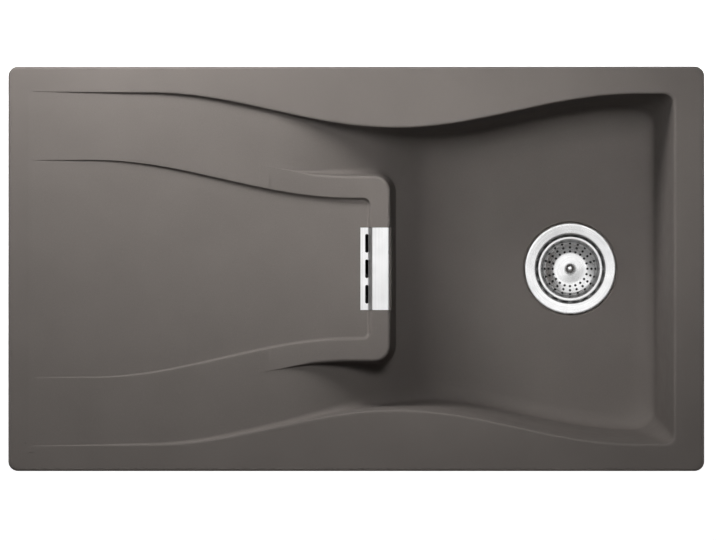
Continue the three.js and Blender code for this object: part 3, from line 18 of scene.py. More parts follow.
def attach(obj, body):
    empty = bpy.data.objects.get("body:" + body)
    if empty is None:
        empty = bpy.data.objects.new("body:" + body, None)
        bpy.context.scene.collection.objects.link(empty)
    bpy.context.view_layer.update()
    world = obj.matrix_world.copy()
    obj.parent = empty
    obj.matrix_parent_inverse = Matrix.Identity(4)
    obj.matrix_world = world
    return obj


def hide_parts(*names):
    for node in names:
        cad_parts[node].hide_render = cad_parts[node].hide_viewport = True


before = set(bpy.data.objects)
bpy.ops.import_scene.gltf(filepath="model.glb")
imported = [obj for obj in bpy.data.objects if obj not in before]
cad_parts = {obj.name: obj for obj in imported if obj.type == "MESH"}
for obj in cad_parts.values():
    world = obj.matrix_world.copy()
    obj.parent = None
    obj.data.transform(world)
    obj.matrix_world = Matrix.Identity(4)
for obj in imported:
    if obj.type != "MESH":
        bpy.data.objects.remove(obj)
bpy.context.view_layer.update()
log = logging.getLogger("sink")

# Metres in a millimetre.
MM = 0.001
# Gap between seated pieces, and round a pin in its bore.
SEAT_GAP = 0.3
BORE_GAP = 0.5
# Edges sharper than this angle in degrees stay sharp.
SHARP_ANGLE = 32.0
# Share of its radius at which an arc's centre stands from a face, so that the two cross.
CROSSING = 0.985
# Most of a side that the rounding of a corner may take.
SIDE_SHARE = 0.45

Array = np.ndarray
Values = np.ndarray | float
Mesh = bpy.types.Mesh
Triple = tuple[float, float, float]
Wave = Callable[[Array, Array, Array], Array]


# ---- shells


class Cap(Enum):
    """How the two ends of a loft are closed."""

    JOINED = "the last ring joins the first"
    FACE = "one face at each end"
    FAN = "triangles to a point at each end"
    LADDER = "rungs between the mirrored halves of each end"


class Cut(Enum):
    """What a tool shell does to the body it is used on."""

    JOIN = "UNION"
    REMOVE = "DIFFERENCE"
    KEEP = "INTERSECT"


@dataclass
class Shell:
    """Closed surface: points in millimetres, and faces as index arrays by number of corners."""

    points: Array
    faces: list[Array]

    def volume(self) -> float:
        """Volume inside, from signed tetrahedra to the origin; negative where faces point in."""
        total = 0.0
        for group in self.faces:
            corners = self.points[group]
            cross = np.cross(corners[:, 1:-1], corners[:, 2:])
            total += float(np.sum(corners[:, :1] * cross)) / 6.0
        return total

    def outward(self) -> "Shell":
        """Same shell with its faces pointing out."""
        if self.volume() >= 0.0:
            return self
        return Shell(self.points, [group[:, ::-1] for group in self.faces])

    def placed(self, x: float = 0.0, y: float = 0.0, z: float = 0.0, turn: float = 0.0) -> "Shell":
        """Copy turned about the Z axis, then moved.

        Args:
            x: Move along X.
            y: Move along Y.
            z: Move along Z.
            turn: Angle about the Z axis in radians.

        Returns:
            The placed shell.
        """
        cos, sin = math.cos(turn), math.sin(turn)
        spin = np.array([[cos, sin, 0.0], [-sin, cos, 0.0], [0.0, 0.0, 1.0]])
        return Shell(self.points @ spin + np.array([x, y, z]), self.faces)


def gathered(shells: list[Shell]) -> Shell:
    """Several shells as one, each one's points numbered after the last one's.

    Args:
        shells: Shells that don't meet.

    Returns:
        One shell that holds them all.
    """
    points, faces, first = [], [], 0
    for shell in shells:
        points.append(shell.points)
        faces += [group + first for group in shell.faces]
        first += len(shell.points)
    return Shell(np.vstack(points), faces)


def loft(rings: Array, cap: Cap) -> Shell:
    """Skin over rings of equal length: point i of one ring joins point i of the next.

    Args:
        rings: Points by ring, by place in the ring, by axis.
        cap: How the ends are closed. A ladder joins point i to point n - 1 - i.

    Returns:
        The closed shell.
    """
    levels, count = rings.shape[:2]
    index = np.arange(levels * count).reshape(levels, count)
    points = rings.reshape(-1, 3)
    run = np.vstack([index, index[:1]]) if cap is Cap.JOINED else index
    ahead = np.roll(run, -1, axis=1)
    quads = np.stack([run[:-1], ahead[:-1], ahead[1:], run[1:]], axis=-1).reshape(-1, 4)
    faces = [quads]
    if cap is Cap.FACE:
        faces += [index[:1, ::-1], index[-1:]]
    if cap is Cap.FAN:
        apex = levels * count
        points = np.vstack([points, rings[0].mean(axis=0), rings[-1].mean(axis=0)])
        turn = np.roll(index, -1, axis=1)
        faces.append(np.column_stack([turn[0], index[0], np.full(count, apex)]))
        faces.append(np.column_stack([index[-1], turn[-1], np.full(count, apex + 1)]))
    if cap is Cap.LADDER:
        half = count // 2
        for ring, flip in ((index[0], True), (index[-1], False)):
            near, far = ring[:half], ring[::-1][:half]
            rungs = np.column_stack([near[:-1], near[1:], far[1:], far[:-1]])
            faces.append(rungs[:, ::-1] if flip else rungs)
    return Shell(points, faces).outward()


def revolve(profile: Array, sides: int, wave: Wave | None = None) -> Shell:
    """Profile of radius and height carried round the Z axis.

    The point at angle a is (r cos a, r sin a, z). A profile that starts and ends on the axis is
    closed by a fan at each end, and any other one joins its own start. The wave is added to r.

    Args:
        profile: Rows of radius and height.
        sides: Number of steps round the axis.
        wave: Change of the radius from angle, radius and height.

    Returns:
        The closed shell.
    """
    angle = np.arange(sides) * (2.0 * np.pi / sides)
    radius, height = profile[:, :1], profile[:, 1:]
    if wave is not None:
        radius = radius + wave(angle[None, :], radius, height) * (radius > 1e-6)
    radius = np.broadcast_to(radius, (len(profile), sides))
    level = np.broadcast_to(height, radius.shape)
    rings = np.stack([radius * np.cos(angle), radius * np.sin(angle), level], axis=-1)
    if profile[0, 0] > 1e-6:
        return loft(rings, Cap.JOINED)
    shell = loft(rings[1:-1], Cap.FAN)
    shell.points[-2:] = [[0.0, 0.0, profile[0, 1]], [0.0, 0.0, profile[-1, 1]]]
    return shell.outward()


def softened(corners: list[tuple[float, ...]], steps: int = 4, closed: bool = True) -> Array:
    """Profile with its corners rounded.

    A corner P between A and B becomes the curve (1-t)^2 S + 2t(1-t) P + t^2 E, where S and E lie on
    PA and PB at the corner's reach, at most a set share of either side. A short straight is kept at each
    end of the curve, so that flat faces stay flat when they are shaded.

    Args:
        corners: Rows of coordinates, each with its corner's reach last; 0 keeps it sharp.
        steps: Steps in each curve.
        closed: Whether the last corner joins the first; otherwise both stay sharp.

    Returns:
        Rows of coordinates.
    """
    table = np.array(corners, float)
    points, reach = table[:, :-1], table[:, -1].copy()
    if not closed:
        reach[[0, -1]] = 0.0
    towards = [np.roll(points, shift, axis=0) - points for shift in (1, -1)]
    lengths = [np.maximum(np.linalg.norm(side, axis=1), 1e-9) for side in towards]
    reach = np.minimum(reach, SIDE_SHARE * np.minimum(*lengths))
    units = [side / length[:, None] for side, length in zip(towards, lengths)]
    hold = np.minimum(0.35 * reach, 0.04 * np.minimum(*lengths))
    start, end = (points + unit * reach[:, None] for unit in units)
    share = np.linspace(0.0, 1.0, steps + 1)[None, :, None]
    curve = (1 - share) ** 2 * start[:, None] + 2 * share * (1 - share) * points[:, None]
    curve = curve + share**2 * end[:, None]
    before = (start + units[0] * hold[:, None])[:, None]
    after = (end + units[1] * hold[:, None])[:, None]
    rows = np.concatenate([before, curve, after], axis=1).reshape(-1, points.shape[1])
    apart = np.linalg.norm(rows - np.roll(rows, 1, axis=0), axis=1) > 1e-4
    apart[0] = apart[0] or not closed
    return rows[apart]


def turned(corners: list[Triple], sides: int, steps: int = 4, closed: bool = False) -> Shell:
    """Softened profile of radius and height carried round the Z axis."""
    return revolve(softened(corners, steps, closed), sides)


def rounded_rectangle(half_x: float, half_y: float, corner: float, steps: int = 8) -> Array:
    """Rounded rectangle about the origin: quarter circles joined by straights.

    Args:
        half_x: Half its length along X.
        half_y: Half its length along Y.
        corner: Corner radius.
        steps: Steps in each quarter circle.

    Returns:
        Rows of x and y, counter-clockwise, starting at the end of the +X side.
    """
    quarter = np.linspace(0.0, np.pi / 2, steps + 1)
    angle = (quarter[None, :] + np.arange(4)[:, None] * np.pi / 2).ravel()
    sign_x, sign_y = np.repeat([[1.0, -1.0, -1.0, 1.0], [1.0, 1.0, -1.0, -1.0]], steps + 1, axis=1)
    x = sign_x * (half_x - corner) + corner * np.cos(angle)
    return np.column_stack([x, sign_y * (half_y - corner) + corner * np.sin(angle)])


def stacked(outlines: list[tuple[Array, float]], cap: Cap = Cap.FACE) -> Shell:
    """Plan outlines of equal length stacked at their heights and skinned over.

    Args:
        outlines: Each outline's rows of x and y, and its height.
        cap: How the ends are closed.

    Returns:
        The closed shell.
    """
    rings = [np.column_stack([outline, np.full(len(outline), height)]) for outline, height in outlines]
    return loft(np.array(rings), cap)


def softened_block(
    half_x: float, half_y: float, low: float, high: float, corner: float, edge: float
) -> Shell:
    """Block with rounded upright corners and rounded top and bottom edges.

    Args:
        half_x: Half its length along X.
        half_y: Half its length along Y.
        low: Height of its underside.
        high: Height of its top.
        corner: Radius of the upright corners.
        edge: Reach of the rounding at the top and bottom.

    Returns:
        The block about the Z axis.
    """
    side = softened([(-edge * 2, low, 0), (0, low, edge), (0, high, edge), (-edge * 2, high, 0)], 3, False)
    return stacked([
        (rounded_rectangle(half_x + inset, half_y + inset, max(corner + inset, 0.05)), height)
        for inset, height in side
    ])


def run_across(outline: Array, width: float) -> Shell:
    """Outline of x and z run along Y, centred on y = 0.

    Args:
        outline: Rows of x and z.
        width: Length along Y.

    Returns:
        The closed shell.
    """
    rings = [
        np.column_stack([outline[:, 0], np.full(len(outline), side * width / 2), outline[:, 1]])
        for side in (-1, 1)
    ]
    return loft(np.array(rings), Cap.FACE)


def hollow_line(corners: list[Triple], thickness: float, steps: int = 6) -> Array:
    """Outline of a sheet folded along a line, its folds rounded on both faces.

    The second face lies one thickness to the right of the first, along the line's own normals.

    Args:
        corners: Rows of two coordinates and the fold's reach, along the first face.
        thickness: Thickness of the sheet.
        steps: Steps in each fold.

    Returns:
        Rows of two coordinates, once round the sheet's section.
    """
    line = softened(corners, steps, closed=False)
    along = np.gradient(line, axis=0)
    along /= np.linalg.norm(along, axis=1)[:, None]
    other = line + thickness * np.column_stack([along[:, 1], -along[:, 0]])
    return np.vstack([line, other[::-1]])


# ---- meshes


def mesh_of(name: str, shell: Shell) -> Mesh:
    """Mesh of a shell, in metres.

    Args:
        name: Name of the mesh.
        shell: Closed shell in millimetres.

    Returns:
        The mesh.
    """
    mesh = bpy.data.meshes.new(name)
    outer = shell.outward()
    polygons = [polygon for group in outer.faces for polygon in group.tolist()]
    mesh.from_pydata((outer.points * MM).tolist(), [], polygons)
    mesh.update()
    return mesh


def carved(name: str, base: Shell, steps: list[tuple[Cut, Shell]]) -> Mesh:
    """Mesh of a body after tool shells are joined to it, removed from it or kept in common.

    Args:
        name: Name of the mesh.
        base: The body.
        steps: What each tool does, in order.

    Returns:
        The finished mesh, in metres.
    """
    collection = bpy.context.scene.collection
    body = bpy.data.objects.new(name, mesh_of(name, base))
    collection.objects.link(body)
    helpers = []
    for number, (cut, tool) in enumerate(steps):
        helper = bpy.data.objects.new(f"{name}_tool_{number}", mesh_of(f"{name}_tool", tool))
        collection.objects.link(helper)
        helpers.append(helper)
        modifier = body.modifiers.new(f"step_{number}", "BOOLEAN")
        modifier.operation = cut.value
        modifier.solver = "MANIFOLD"
        modifier.object = helper
    bpy.context.view_layer.update()
    depsgraph = bpy.context.evaluated_depsgraph_get()
    mesh = bpy.data.meshes.new_from_object(body.evaluated_get(depsgraph), depsgraph=depsgraph)
    mesh.name = name
    for helper in [body, *helpers]:
        spare = helper.data
        bpy.data.objects.remove(helper)
        bpy.data.meshes.remove(spare)
    return mesh


def moved(mesh: Mesh, x: float = 0.0, y: float = 0.0, z: float = 0.0, turn: float = 0.0) -> Mesh:
    """Copy of a finished mesh turned about the Z axis, then moved by millimetres.

    Args:
        mesh: Mesh to copy; it stays as it is.
        x: Move along X.
        y: Move along Y.
        z: Move along Z.
        turn: Angle about the Z axis in radians.

    Returns:
        The placed copy.
    """
    copy = mesh.copy()
    copy.transform(Matrix.Translation((x * MM, y * MM, z * MM)) @ Matrix.Rotation(turn, 4, "Z"))
    return copy


@dataclass(frozen=True)
class Bevel:
    """Rounding of a piece's sharp edges."""

    width: float
    segments: int = 2
    angle: float = 40.0


@dataclass
class Dresser:
    """Puts finished meshes into the scene and dresses them."""

    finishes: dict[str, bpy.types.Material]
    shown: list[str] = field(default_factory=list)

    def show(
        self, node: str, shape: Shell | Mesh, finish: str, body: str = "sink",
        slot: str = "", bevel: Bevel | None = None,
    ) -> None:
        """Shows a piece in place of its plain node.

        Args:
            node: Node that the piece stands for.
            shape: Its shell, or its finished mesh.
            finish: Name of its finish.
            body: Body that it rides on.
            slot: Name for a material slot, where its name isn't the finish's; not used.
            bevel: Rounding of its sharp edges.
        """
        slot = slot or finish
        name = f"{node}_piece"
        mesh = mesh_of(name, shape) if isinstance(shape, Shell) else shape
        mesh.name = name
        piece = bpy.data.objects.new(name, mesh)
        bpy.context.scene.collection.objects.link(piece)
        mesh.materials.clear()
        mesh.materials.append(self.finishes[finish])
        mesh.shade_smooth()
        mesh.set_sharp_from_angle(angle=math.radians(SHARP_ANGLE))
        if bevel is not None:
            rounding = piece.modifiers.new("rounding", "BEVEL")
            rounding.width = bevel.width * MM
            rounding.segments = bevel.segments
            rounding.limit_method = "ANGLE"
            rounding.angle_limit = math.radians(bevel.angle)
            rounding.harden_normals = False
            rounding.miter_outer = "MITER_ARC"
        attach(piece, body)
        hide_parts(node)
        self.shown.append(name)
        log.info("%s: %d faces", name, len(mesh.polygons))


# ---- the moulding


def swell(turn: Values) -> Values:
    """Share of a full wave: half of 1 + cos(pi t), 0 at t = -1 and 1, and 1 in the middle."""
    return 0.5 * (1.0 + np.cos(np.pi * np.clip(turn, -1.0, 1.0)))


def mitred(line: Array, distance: float) -> Array:
    """Line moved to its right by a distance, its corners mitred.

    Args:
        line: Rows of two coordinates.
        distance: How far it moves.

    Returns:
        The moved line.
    """
    along = np.diff(line, axis=0)
    across = np.column_stack([along[:, 1], -along[:, 0]]) / np.linalg.norm(along, axis=1)[:, None]
    before, after = np.vstack([across[:1], across]), np.vstack([across, across[-1:]])
    scale = distance / (1.0 + np.sum(before * after, axis=1))
    return line + scale[:, None] * (before + after)


def sheet_faces(loops: Array, block: Array) -> Array:
    """Faces of a sheet made of closed loops, one inside the other, round a block of rows.

    Args:
        loops: Point numbers by loop from outside in, clockwise from above.
        block: Point numbers by row along Y and by column along X.

    Returns:
        Faces of four corners that point up.
    """
    ahead = np.roll(loops, -1, axis=1)
    bands = np.stack([loops[:-1], loops[1:], ahead[1:], ahead[:-1]], axis=-1).reshape(-1, 4)
    rows = np.stack([block[:-1, :-1], block[:-1, 1:], block[1:, 1:], block[1:, :-1]], axis=-1)
    return np.vstack([bands, rows.reshape(-1, 4)])


@dataclass
class Rail:
    """Line of x and y round the panel or the ridge, with its outward normals."""

    line: Array
    normal: Array

    def beside(self, out: Array) -> Array:
        """Line a distance outside this one."""
        return self.line + self.normal * out[:, None]

    def ring(self, out: Array, height: Array) -> Array:
        """Points a distance outside the line, at their heights."""
        return np.column_stack([self.beside(out), height])


@dataclass
class Moulding:
    """The moulded sink: rim, recess, ridge, panel, bowl, drain seat and underside."""

    length: float = 860.0
    width: float = 500.0
    plan_corner: float = 12.0
    edge_round: float = 3.0
    rim_under: float = 2.0
    rim_top: float = 10.0
    wall: float = 8.0
    recess_x: float = -405.0
    recess_corner: float = 8.0
    recess_half: float = 219.0
    bowl_end_x: float = 396.0
    waist_x: float = 48.0
    waist_depth: float = 42.0
    waist_span: float = 300.0
    panel_x: float = -399.0
    panel_end_x: float = 17.3
    panel_half_width: float = 136.0
    panel_taper: float = 48.5
    panel_taper_x: float = -330.5
    panel_taper_length: float = 329.0
    panel_depth: float = 7.0
    panel_corner: float = 9.0
    panel_ease: float = 0.75
    panel_lean: float = 2.1
    panel_lip: float = 1.9
    panel_foot: float = 2.6
    ridge_width: float = 24.7
    ridge_side: float = 27.4
    ridge_corner: float = 20.0
    ridge_blend: float = 12.0
    ridge_rise: float = 0.005
    ridge_edge: float = 4.0
    ridge_foot: float = 9.0
    ridge_root: float = 2.5
    space_reach: float = 185.0
    plateau_fall: float = 12.0
    crest_setback: float = 154.0
    slope_run: float = 292.0
    crest_radius: float = 195.0
    foot_radius: float = 125.0
    floor_z: float = -182.0
    dish_depth: float = 4.0
    dish_radius: float = 185.0
    draft: float = math.radians(5.0)
    lip_radius: float = 3.0
    foot_fillet: float = 21.0
    shallow_fillet: float = 3.0
    fillet_rate: float = 0.25
    end_lean: float = 0.74
    bowl_corner: float = 8.0
    bowl_corner_growth: float = 0.8
    drain_x: float = 267.0
    seat_z: float = -189.0
    boss_under: float = -197.0
    boss_radius: float = 62.0
    seat_radius: float = 58.5
    drain_hole: float = 45.0
    cover_sheet: float = 1.2
    cover_half: float = 51.0
    cover_side_gap: float = 0.4
    cover_foot: float = 12.2
    cover_rise: float = 2.1
    cover_lip: float = 16.0
    overflow_x: float = 18.8
    pad_under: float = -20.0
    pad_half_length: float = 66.0
    pad_half_width: float = 16.0
    pocket_half_width: float = 8.0
    pocket_half_length: float = 47.0
    tunnel_half_length: float = 40.0
    tunnel_low: float = -15.0
    tunnel_high: float = -8.5
    overflow_screw_y: float = 58.0
    overflow_screw_hole: float = 2.1
    tap_y: float = 213.0
    tap_radius: float = 17.5
    tap_recess: float = 4.0
    clamp_stations: Triple = (130.0, 380.0, 630.0)
    clamp_inset: float = 20.0
    clamp_end_inset: float = 19.0
    clamp_boss_half: float = 8.0
    clamp_boss_under: float = -24.0
    clamp_hole: float = 4.9
    clamp_hole_top: float = 0.0
    side_steps: int = 24
    corner_steps: int = 10
    edge_steps: int = 190

    @property
    def ridge_end_x(self) -> float:
        """Where the ridge's outer face meets the level of its top."""
        return self.panel_end_x + self.ridge_width

    @property
    def crest_x(self) -> float:
        """Where the slope begins."""
        return self.ridge_end_x - self.crest_setback

    @property
    def ridge_end_top(self) -> float:
        """Height of the ridge's top at the bowl."""
        return self.rim_top - self.plateau_fall

    def half_width(self, x: Array) -> Array:
        """Half the recess's width: its full half less the waist's depth times a swell."""
        return self.recess_half - self.waist_depth * swell((x - self.waist_x) / self.waist_span)

    def edge_cosine(self, x: Array) -> Array:
        """Cosine of the recess edge's angle to X, from the slope of the swell.

        Args:
            x: Places along X.

        Returns:
            The cosines.
        """
        turn = np.clip((x - self.waist_x) / self.waist_span, -1.0, 1.0)
        slope = self.waist_depth * np.pi * np.sin(np.pi * turn) / (2.0 * self.waist_span)
        return 1.0 / np.hypot(1.0, slope)

    def panel_half(self, x: Values) -> Values:
        """Half the panel's width, which draws in along half a wave."""
        along = np.clip((x - self.panel_taper_x) / self.panel_taper_length, 0.0, 1.0)
        return self.panel_half_width - self.panel_taper * swell(1.0 - along)

    def plateau(self, x: Values) -> Values:
        """Height of the drainboard, which falls evenly from the recess's start to the ridge's end."""
        share = (x - self.recess_x) / (self.ridge_end_x - self.recess_x)
        return self.rim_top - self.plateau_fall * np.maximum(share, 0.0)

    def panel_floor(self, x: Values) -> Values:
        """Height of the panel's floor, whose depth grows a little faster at its start."""
        along = np.maximum((x - self.panel_x) / (self.panel_end_x - self.panel_x), 0.0)
        return self.plateau(x) - self.panel_depth * along**self.panel_ease

    def slope_drop(self, run: Values, total: float, thickness: float) -> Values:
        """Drop of the slope: a crest arc, a straight and a foot arc that touch one another.

        The surface one thickness below has its crest radius less and its foot radius more by it.

        Args:
            run: Distance from the crest.
            total: Whole drop.
            thickness: Depth below the upper surface.

        Returns:
            The drop at each run.
        """
        most = 0.98 * (self.slope_run**2 + total**2) / (2.0 * total)
        scale = min(1.0, most / (self.crest_radius + self.foot_radius))
        crest = self.crest_radius * scale - thickness
        foot = self.foot_radius * scale + thickness
        over = crest + foot - total
        chord = math.atan2(over, self.slope_run)
        angle = math.pi / 2 - chord - math.acos((crest + foot) / math.hypot(self.slope_run, over))
        left = self.slope_run - run
        arc = crest - np.sqrt(np.maximum(crest**2 - run**2, 0.0))
        tail = total - foot + np.sqrt(np.maximum(foot**2 - left**2, 0.0))
        straight = crest * (1 - math.cos(angle)) + (run - crest * math.sin(angle)) * math.tan(angle)
        drop = np.where(run < crest * math.sin(angle), arc, straight)
        drop = np.where(left < foot * math.sin(angle), tail, drop)
        return np.where(run <= 0.0, 0.0, np.where(left <= 0.0, total, drop))

    def bottom(self, x: Values, y: Values, thickness: float) -> Values:
        """Height of the recess's bottom: drainboard, slope, and a floor dished round the drain.

        Args:
            x: Places along X.
            y: Places along Y.
            thickness: Depth below the upper surface; negative above it.

        Returns:
            The heights.
        """
        fade = np.clip((x - self.crest_x) / self.crest_setback, 0.0, 1.0)
        gradient = self.plateau_fall / (self.ridge_end_x - self.recess_x)
        level = self.plateau(np.minimum(x, self.crest_x))
        eased = level - gradient * self.crest_setback * (fade - fade**2 / 2)
        foot = float(self.plateau(self.crest_x)) - gradient * self.crest_setback / 2
        drop = self.slope_drop(x - self.crest_x, foot - self.floor_z, thickness)
        spread = np.minimum(np.hypot(x - self.drain_x, y) / self.dish_radius, 1.0)
        return eased - drop - thickness - self.dish_depth * (1 - spread**2) ** 2

    def wall_runs(self, full: Array, thickness: float) -> tuple[Array, ...]:
        """Lip and foot radii, and the insets where the lip, the straight and the foot end.

        Both radii are smaller where the wall is shallow.

        Args:
            full: Depth of the wall at its foot.
            thickness: Depth below the upper surface.

        Returns:
            The five, in that order.
        """
        foot = np.minimum(self.foot_fillet, self.shallow_fillet + self.fillet_rate * full) + thickness
        rise = 1.0 - math.sin(self.draft)
        scale = np.minimum(1.0, full / ((self.lip_radius + foot) * rise))
        lip, foot = self.lip_radius * scale, foot * scale
        straight = (full - (lip + foot) * rise) * math.tan(self.draft)
        start = lip * math.cos(self.draft)
        return lip, foot, start, start + straight, start + straight + foot * math.cos(self.draft)

    def wall_depth(self, inset: Array, full: Array, thickness: float) -> Array:
        """Depth of the wall at an inset: a lip arc, a drafted straight and a foot arc.

        Args:
            inset: Distance from the wall's edge.
            full: Depth of the wall at its foot.
            thickness: Depth below the upper surface.

        Returns:
            Depth below the rim.
        """
        lip, foot, start, bend, end = self.wall_runs(full, thickness)
        left = end - inset
        arc = lip - np.sqrt(np.maximum(lip**2 - inset**2, 0.0))
        tail = full - foot + np.sqrt(np.maximum(foot**2 - left**2, 0.0))
        straight = lip * (1.0 - math.sin(self.draft)) + (inset - start) / math.tan(self.draft)
        depth = np.where(inset < start, arc, np.where(inset > bend, tail, straight))
        return np.where(inset <= 0.0, 0.0, np.where(left <= 0.0, full, depth))

    def inset_at(self, x: Array, y: Array) -> Array:
        """Inset of a point from the recess's edge.

        Near the bowl's end the lines of equal inset turn the corner on circles whose radius and
        centre grow evenly with the inset, so the inset solves a quadratic.

        Args:
            x: Places along X.
            y: Places along Y.

        Returns:
            The insets, negative outside the edge.
        """
        dx = (self.bowl_end_x - x) * self.end_lean
        dy = (self.half_width(x) - np.abs(y)) * self.edge_cosine(x)
        reach = 1.0 + self.bowl_corner_growth
        a = 2 * reach**2 - self.bowl_corner_growth**2
        b = self.bowl_corner * (4 * reach - 2 * self.bowl_corner_growth) - 2 * reach * (dx + dy)
        c = self.bowl_corner**2 - 2 * self.bowl_corner * (dx + dy) + dx**2 + dy**2
        inset = (np.sqrt(np.maximum(b**2 - 4 * a * c, 0.0)) - b) / (2 * a)
        turning = np.maximum(dx, dy) < self.bowl_corner + reach * inset
        return np.where(turning, inset, np.minimum(dx, dy))

    def upper(self, x: Array, y: Array) -> Array:
        """Height of the upper surface: the rim's top less the wall's depth."""
        return self.rim_top - self.wall_depth(self.inset_at(x, y), self.rim_top - self.bottom(x, y, 0.0), 0.0)

    def lower(self, x: Array, y: Array) -> Array:
        """Height of the underside, one wall away from the upper surface.

        Args:
            x: Places along X.
            y: Places along Y.

        Returns:
            The heights.
        """
        full = self.rim_top - self.bottom(x, y, self.wall)
        depth = self.wall_depth(self.inset_at(x, y) + self.wall, full, self.wall)
        return np.minimum(self.rim_under, self.rim_top - depth)

    def shares(self) -> tuple[Array, ...]:
        """Steps of half a loop: up its left side, round a corner, along its edge and down its right."""
        sides, corners, edges = self.side_steps, self.corner_steps, self.edge_steps
        turn = np.arange(corners) / corners * np.pi / 2
        return np.arange(sides) / sides, turn, np.arange(edges) / edges, np.arange(sides + 1) / sides

    def rim_loop(self, inset: float) -> Array:
        """Half of the rim's outline at an inset, clockwise from the left end's middle.

        Args:
            inset: Distance inside the outline.

        Returns:
            Rows of x and y with y from 0 up and back to 0.
        """
        half_x, half_y = self.length / 2 - self.plan_corner, self.width / 2 - self.plan_corner
        radius = self.plan_corner - inset
        side, turn, along, back = self.shares()
        x = [
            np.full_like(side, inset - self.length / 2), -half_x - radius * np.cos(turn),
            -half_x + 2 * half_x * along, half_x + radius * np.sin(turn),
            np.full_like(back, self.length / 2 - inset),
        ]
        y = [
            half_y * side, half_y + radius * np.sin(turn), np.full_like(along, half_y + radius),
            half_y + radius * np.cos(turn), half_y * (1 - back),
        ]
        return np.column_stack([np.concatenate(x), np.concatenate(y)])

    def edge_loop(self, inset: Array) -> Array:
        """Half of a closed line at an inset from the recess's edge, clockwise from its left end.

        Along the waved edge y is the half width less the inset over the edge's cosine. The bowl's
        corner is the circle that `inset_at` describes, and the shallow end is square with round
        corners.

        Args:
            inset: Inset of each point of the line.

        Returns:
            Rows of x and y, in the rim loop's steps.
        """
        splits = np.cumsum([self.side_steps, self.corner_steps, self.edge_steps, self.corner_steps])
        left, shallow, along, deep, right = np.split(inset, splits)
        side, turn, share, back = self.shares()
        corner, start, end, lean = self.recess_corner, self.recess_x, self.bowl_end_x, self.end_lean

        def centre(run: Array) -> Array:
            """Distance of the corner circle's centre from both edges."""
            return self.bowl_corner + (1.0 + self.bowl_corner_growth) * run

        def across(place: Array, inside: Array) -> Array:
            """Place along Y of a point some distance inside the waved edge."""
            return self.half_width(place) - inside / self.edge_cosine(place)

        radius = self.bowl_corner + self.bowl_corner_growth * deep
        edge_x = (start + along + corner) * (1 - share) + share * (end - centre(along) / lean)
        deep_x = end - (centre(deep) - radius * np.sin(turn)) / lean
        right_x = end - right / lean
        x = [start + left, start + shallow + corner - corner * np.cos(turn), edge_x, deep_x, right_x]
        y = [
            (self.recess_half - left - corner) * side,
            self.recess_half - shallow - corner + corner * np.sin(turn), across(edge_x, along),
            across(deep_x, centre(deep) - radius * np.cos(turn)), across(right_x, centre(right)) * (1 - back),
        ]
        return np.column_stack([np.concatenate(x), np.concatenate(y)])

    def wall_rows(
        self, full: Array, thickness: float, lips: list[float], straights: list[float], bends: list[float]
    ) -> Array:
        """Insets of the rows down the wall, at least a little apart.

        Args:
            full: Depth of the wall at each point of the line.
            thickness: Depth below the upper surface.
            lips: Angles in degrees along the lip arc.
            straights: Shares of the straight.
            bends: Angles in degrees along the foot arc, down to 0 at its end.

        Returns:
            Insets by row and by point.
        """
        lip, foot, start, bend, end = self.wall_runs(full, thickness)
        rows = [lip * math.sin(math.radians(angle)) for angle in lips]
        rows += [start + (bend - start) * share for share in straights]
        rows += [end - foot * math.sin(math.radians(angle)) for angle in bends]
        spread = 0.12 * np.arange(len(rows))[:, None]
        return np.maximum.accumulate(np.array(rows) - spread, axis=0) + spread

    def inset_of_depth(self, depth: float, full: Array, thickness: float) -> Array:
        """Inset where the wall reaches a depth, found by halving.

        Args:
            depth: Depth to reach.
            full: Depth of the wall at its foot.
            thickness: Depth below the upper surface.

        Returns:
            The insets.
        """
        low, high = np.zeros_like(full), self.wall_runs(full, thickness)[-1]
        for _ in range(30):
            middle = (low + high) / 2
            short = self.wall_depth(middle, full, thickness) < depth
            low, high = np.where(short, middle, low), np.where(short, high, middle)
        return (low + high) / 2

    def whole(self, half: Array) -> Array:
        """Half loops of x and y completed by their mirror images below y = 0."""
        below = half[:, -2:0:-1] * np.array([1.0, -1.0])
        return np.concatenate([half, below], axis=1)

    def block_within(self, loop: Array) -> tuple[Array, Array]:
        """Rows and columns that fill the innermost loop.

        The corners of the block lie in the middle of the loop's corners, and each inner point is
        the sum of its two straight blends between opposite sides less their shared corner blend.

        Args:
            loop: Rows of x and y of the whole loop.

        Returns:
            The block's points by row and column, and the loop's point numbers along its border,
            with -1 inside.
        """
        count, half = len(loop), len(loop) // 2
        first = self.side_steps + self.corner_steps // 2
        last = half - first
        rise, run = np.arange(-first, first + 1), np.arange(last - first + 1)
        number = np.full((len(rise), len(run)), -1)
        number[-1], number[0] = first + run, count - (first + run)
        number[:, 0], number[:, -1] = rise % count, half - rise
        u, v = (run / run[-1])[None, :, None], ((rise + first) / (2 * first))[:, None, None]
        low, high, left, right = loop[number[0]], loop[number[-1]], loop[number[:, 0]], loop[number[:, -1]]
        sides = (1 - v) * low[None] + v * high[None] + (1 - u) * left[:, None] + u * right[:, None]
        corners = (1 - v) * ((1 - u) * low[0] + u * low[-1]) + v * ((1 - u) * high[0] + u * high[-1])
        return sides - corners, number

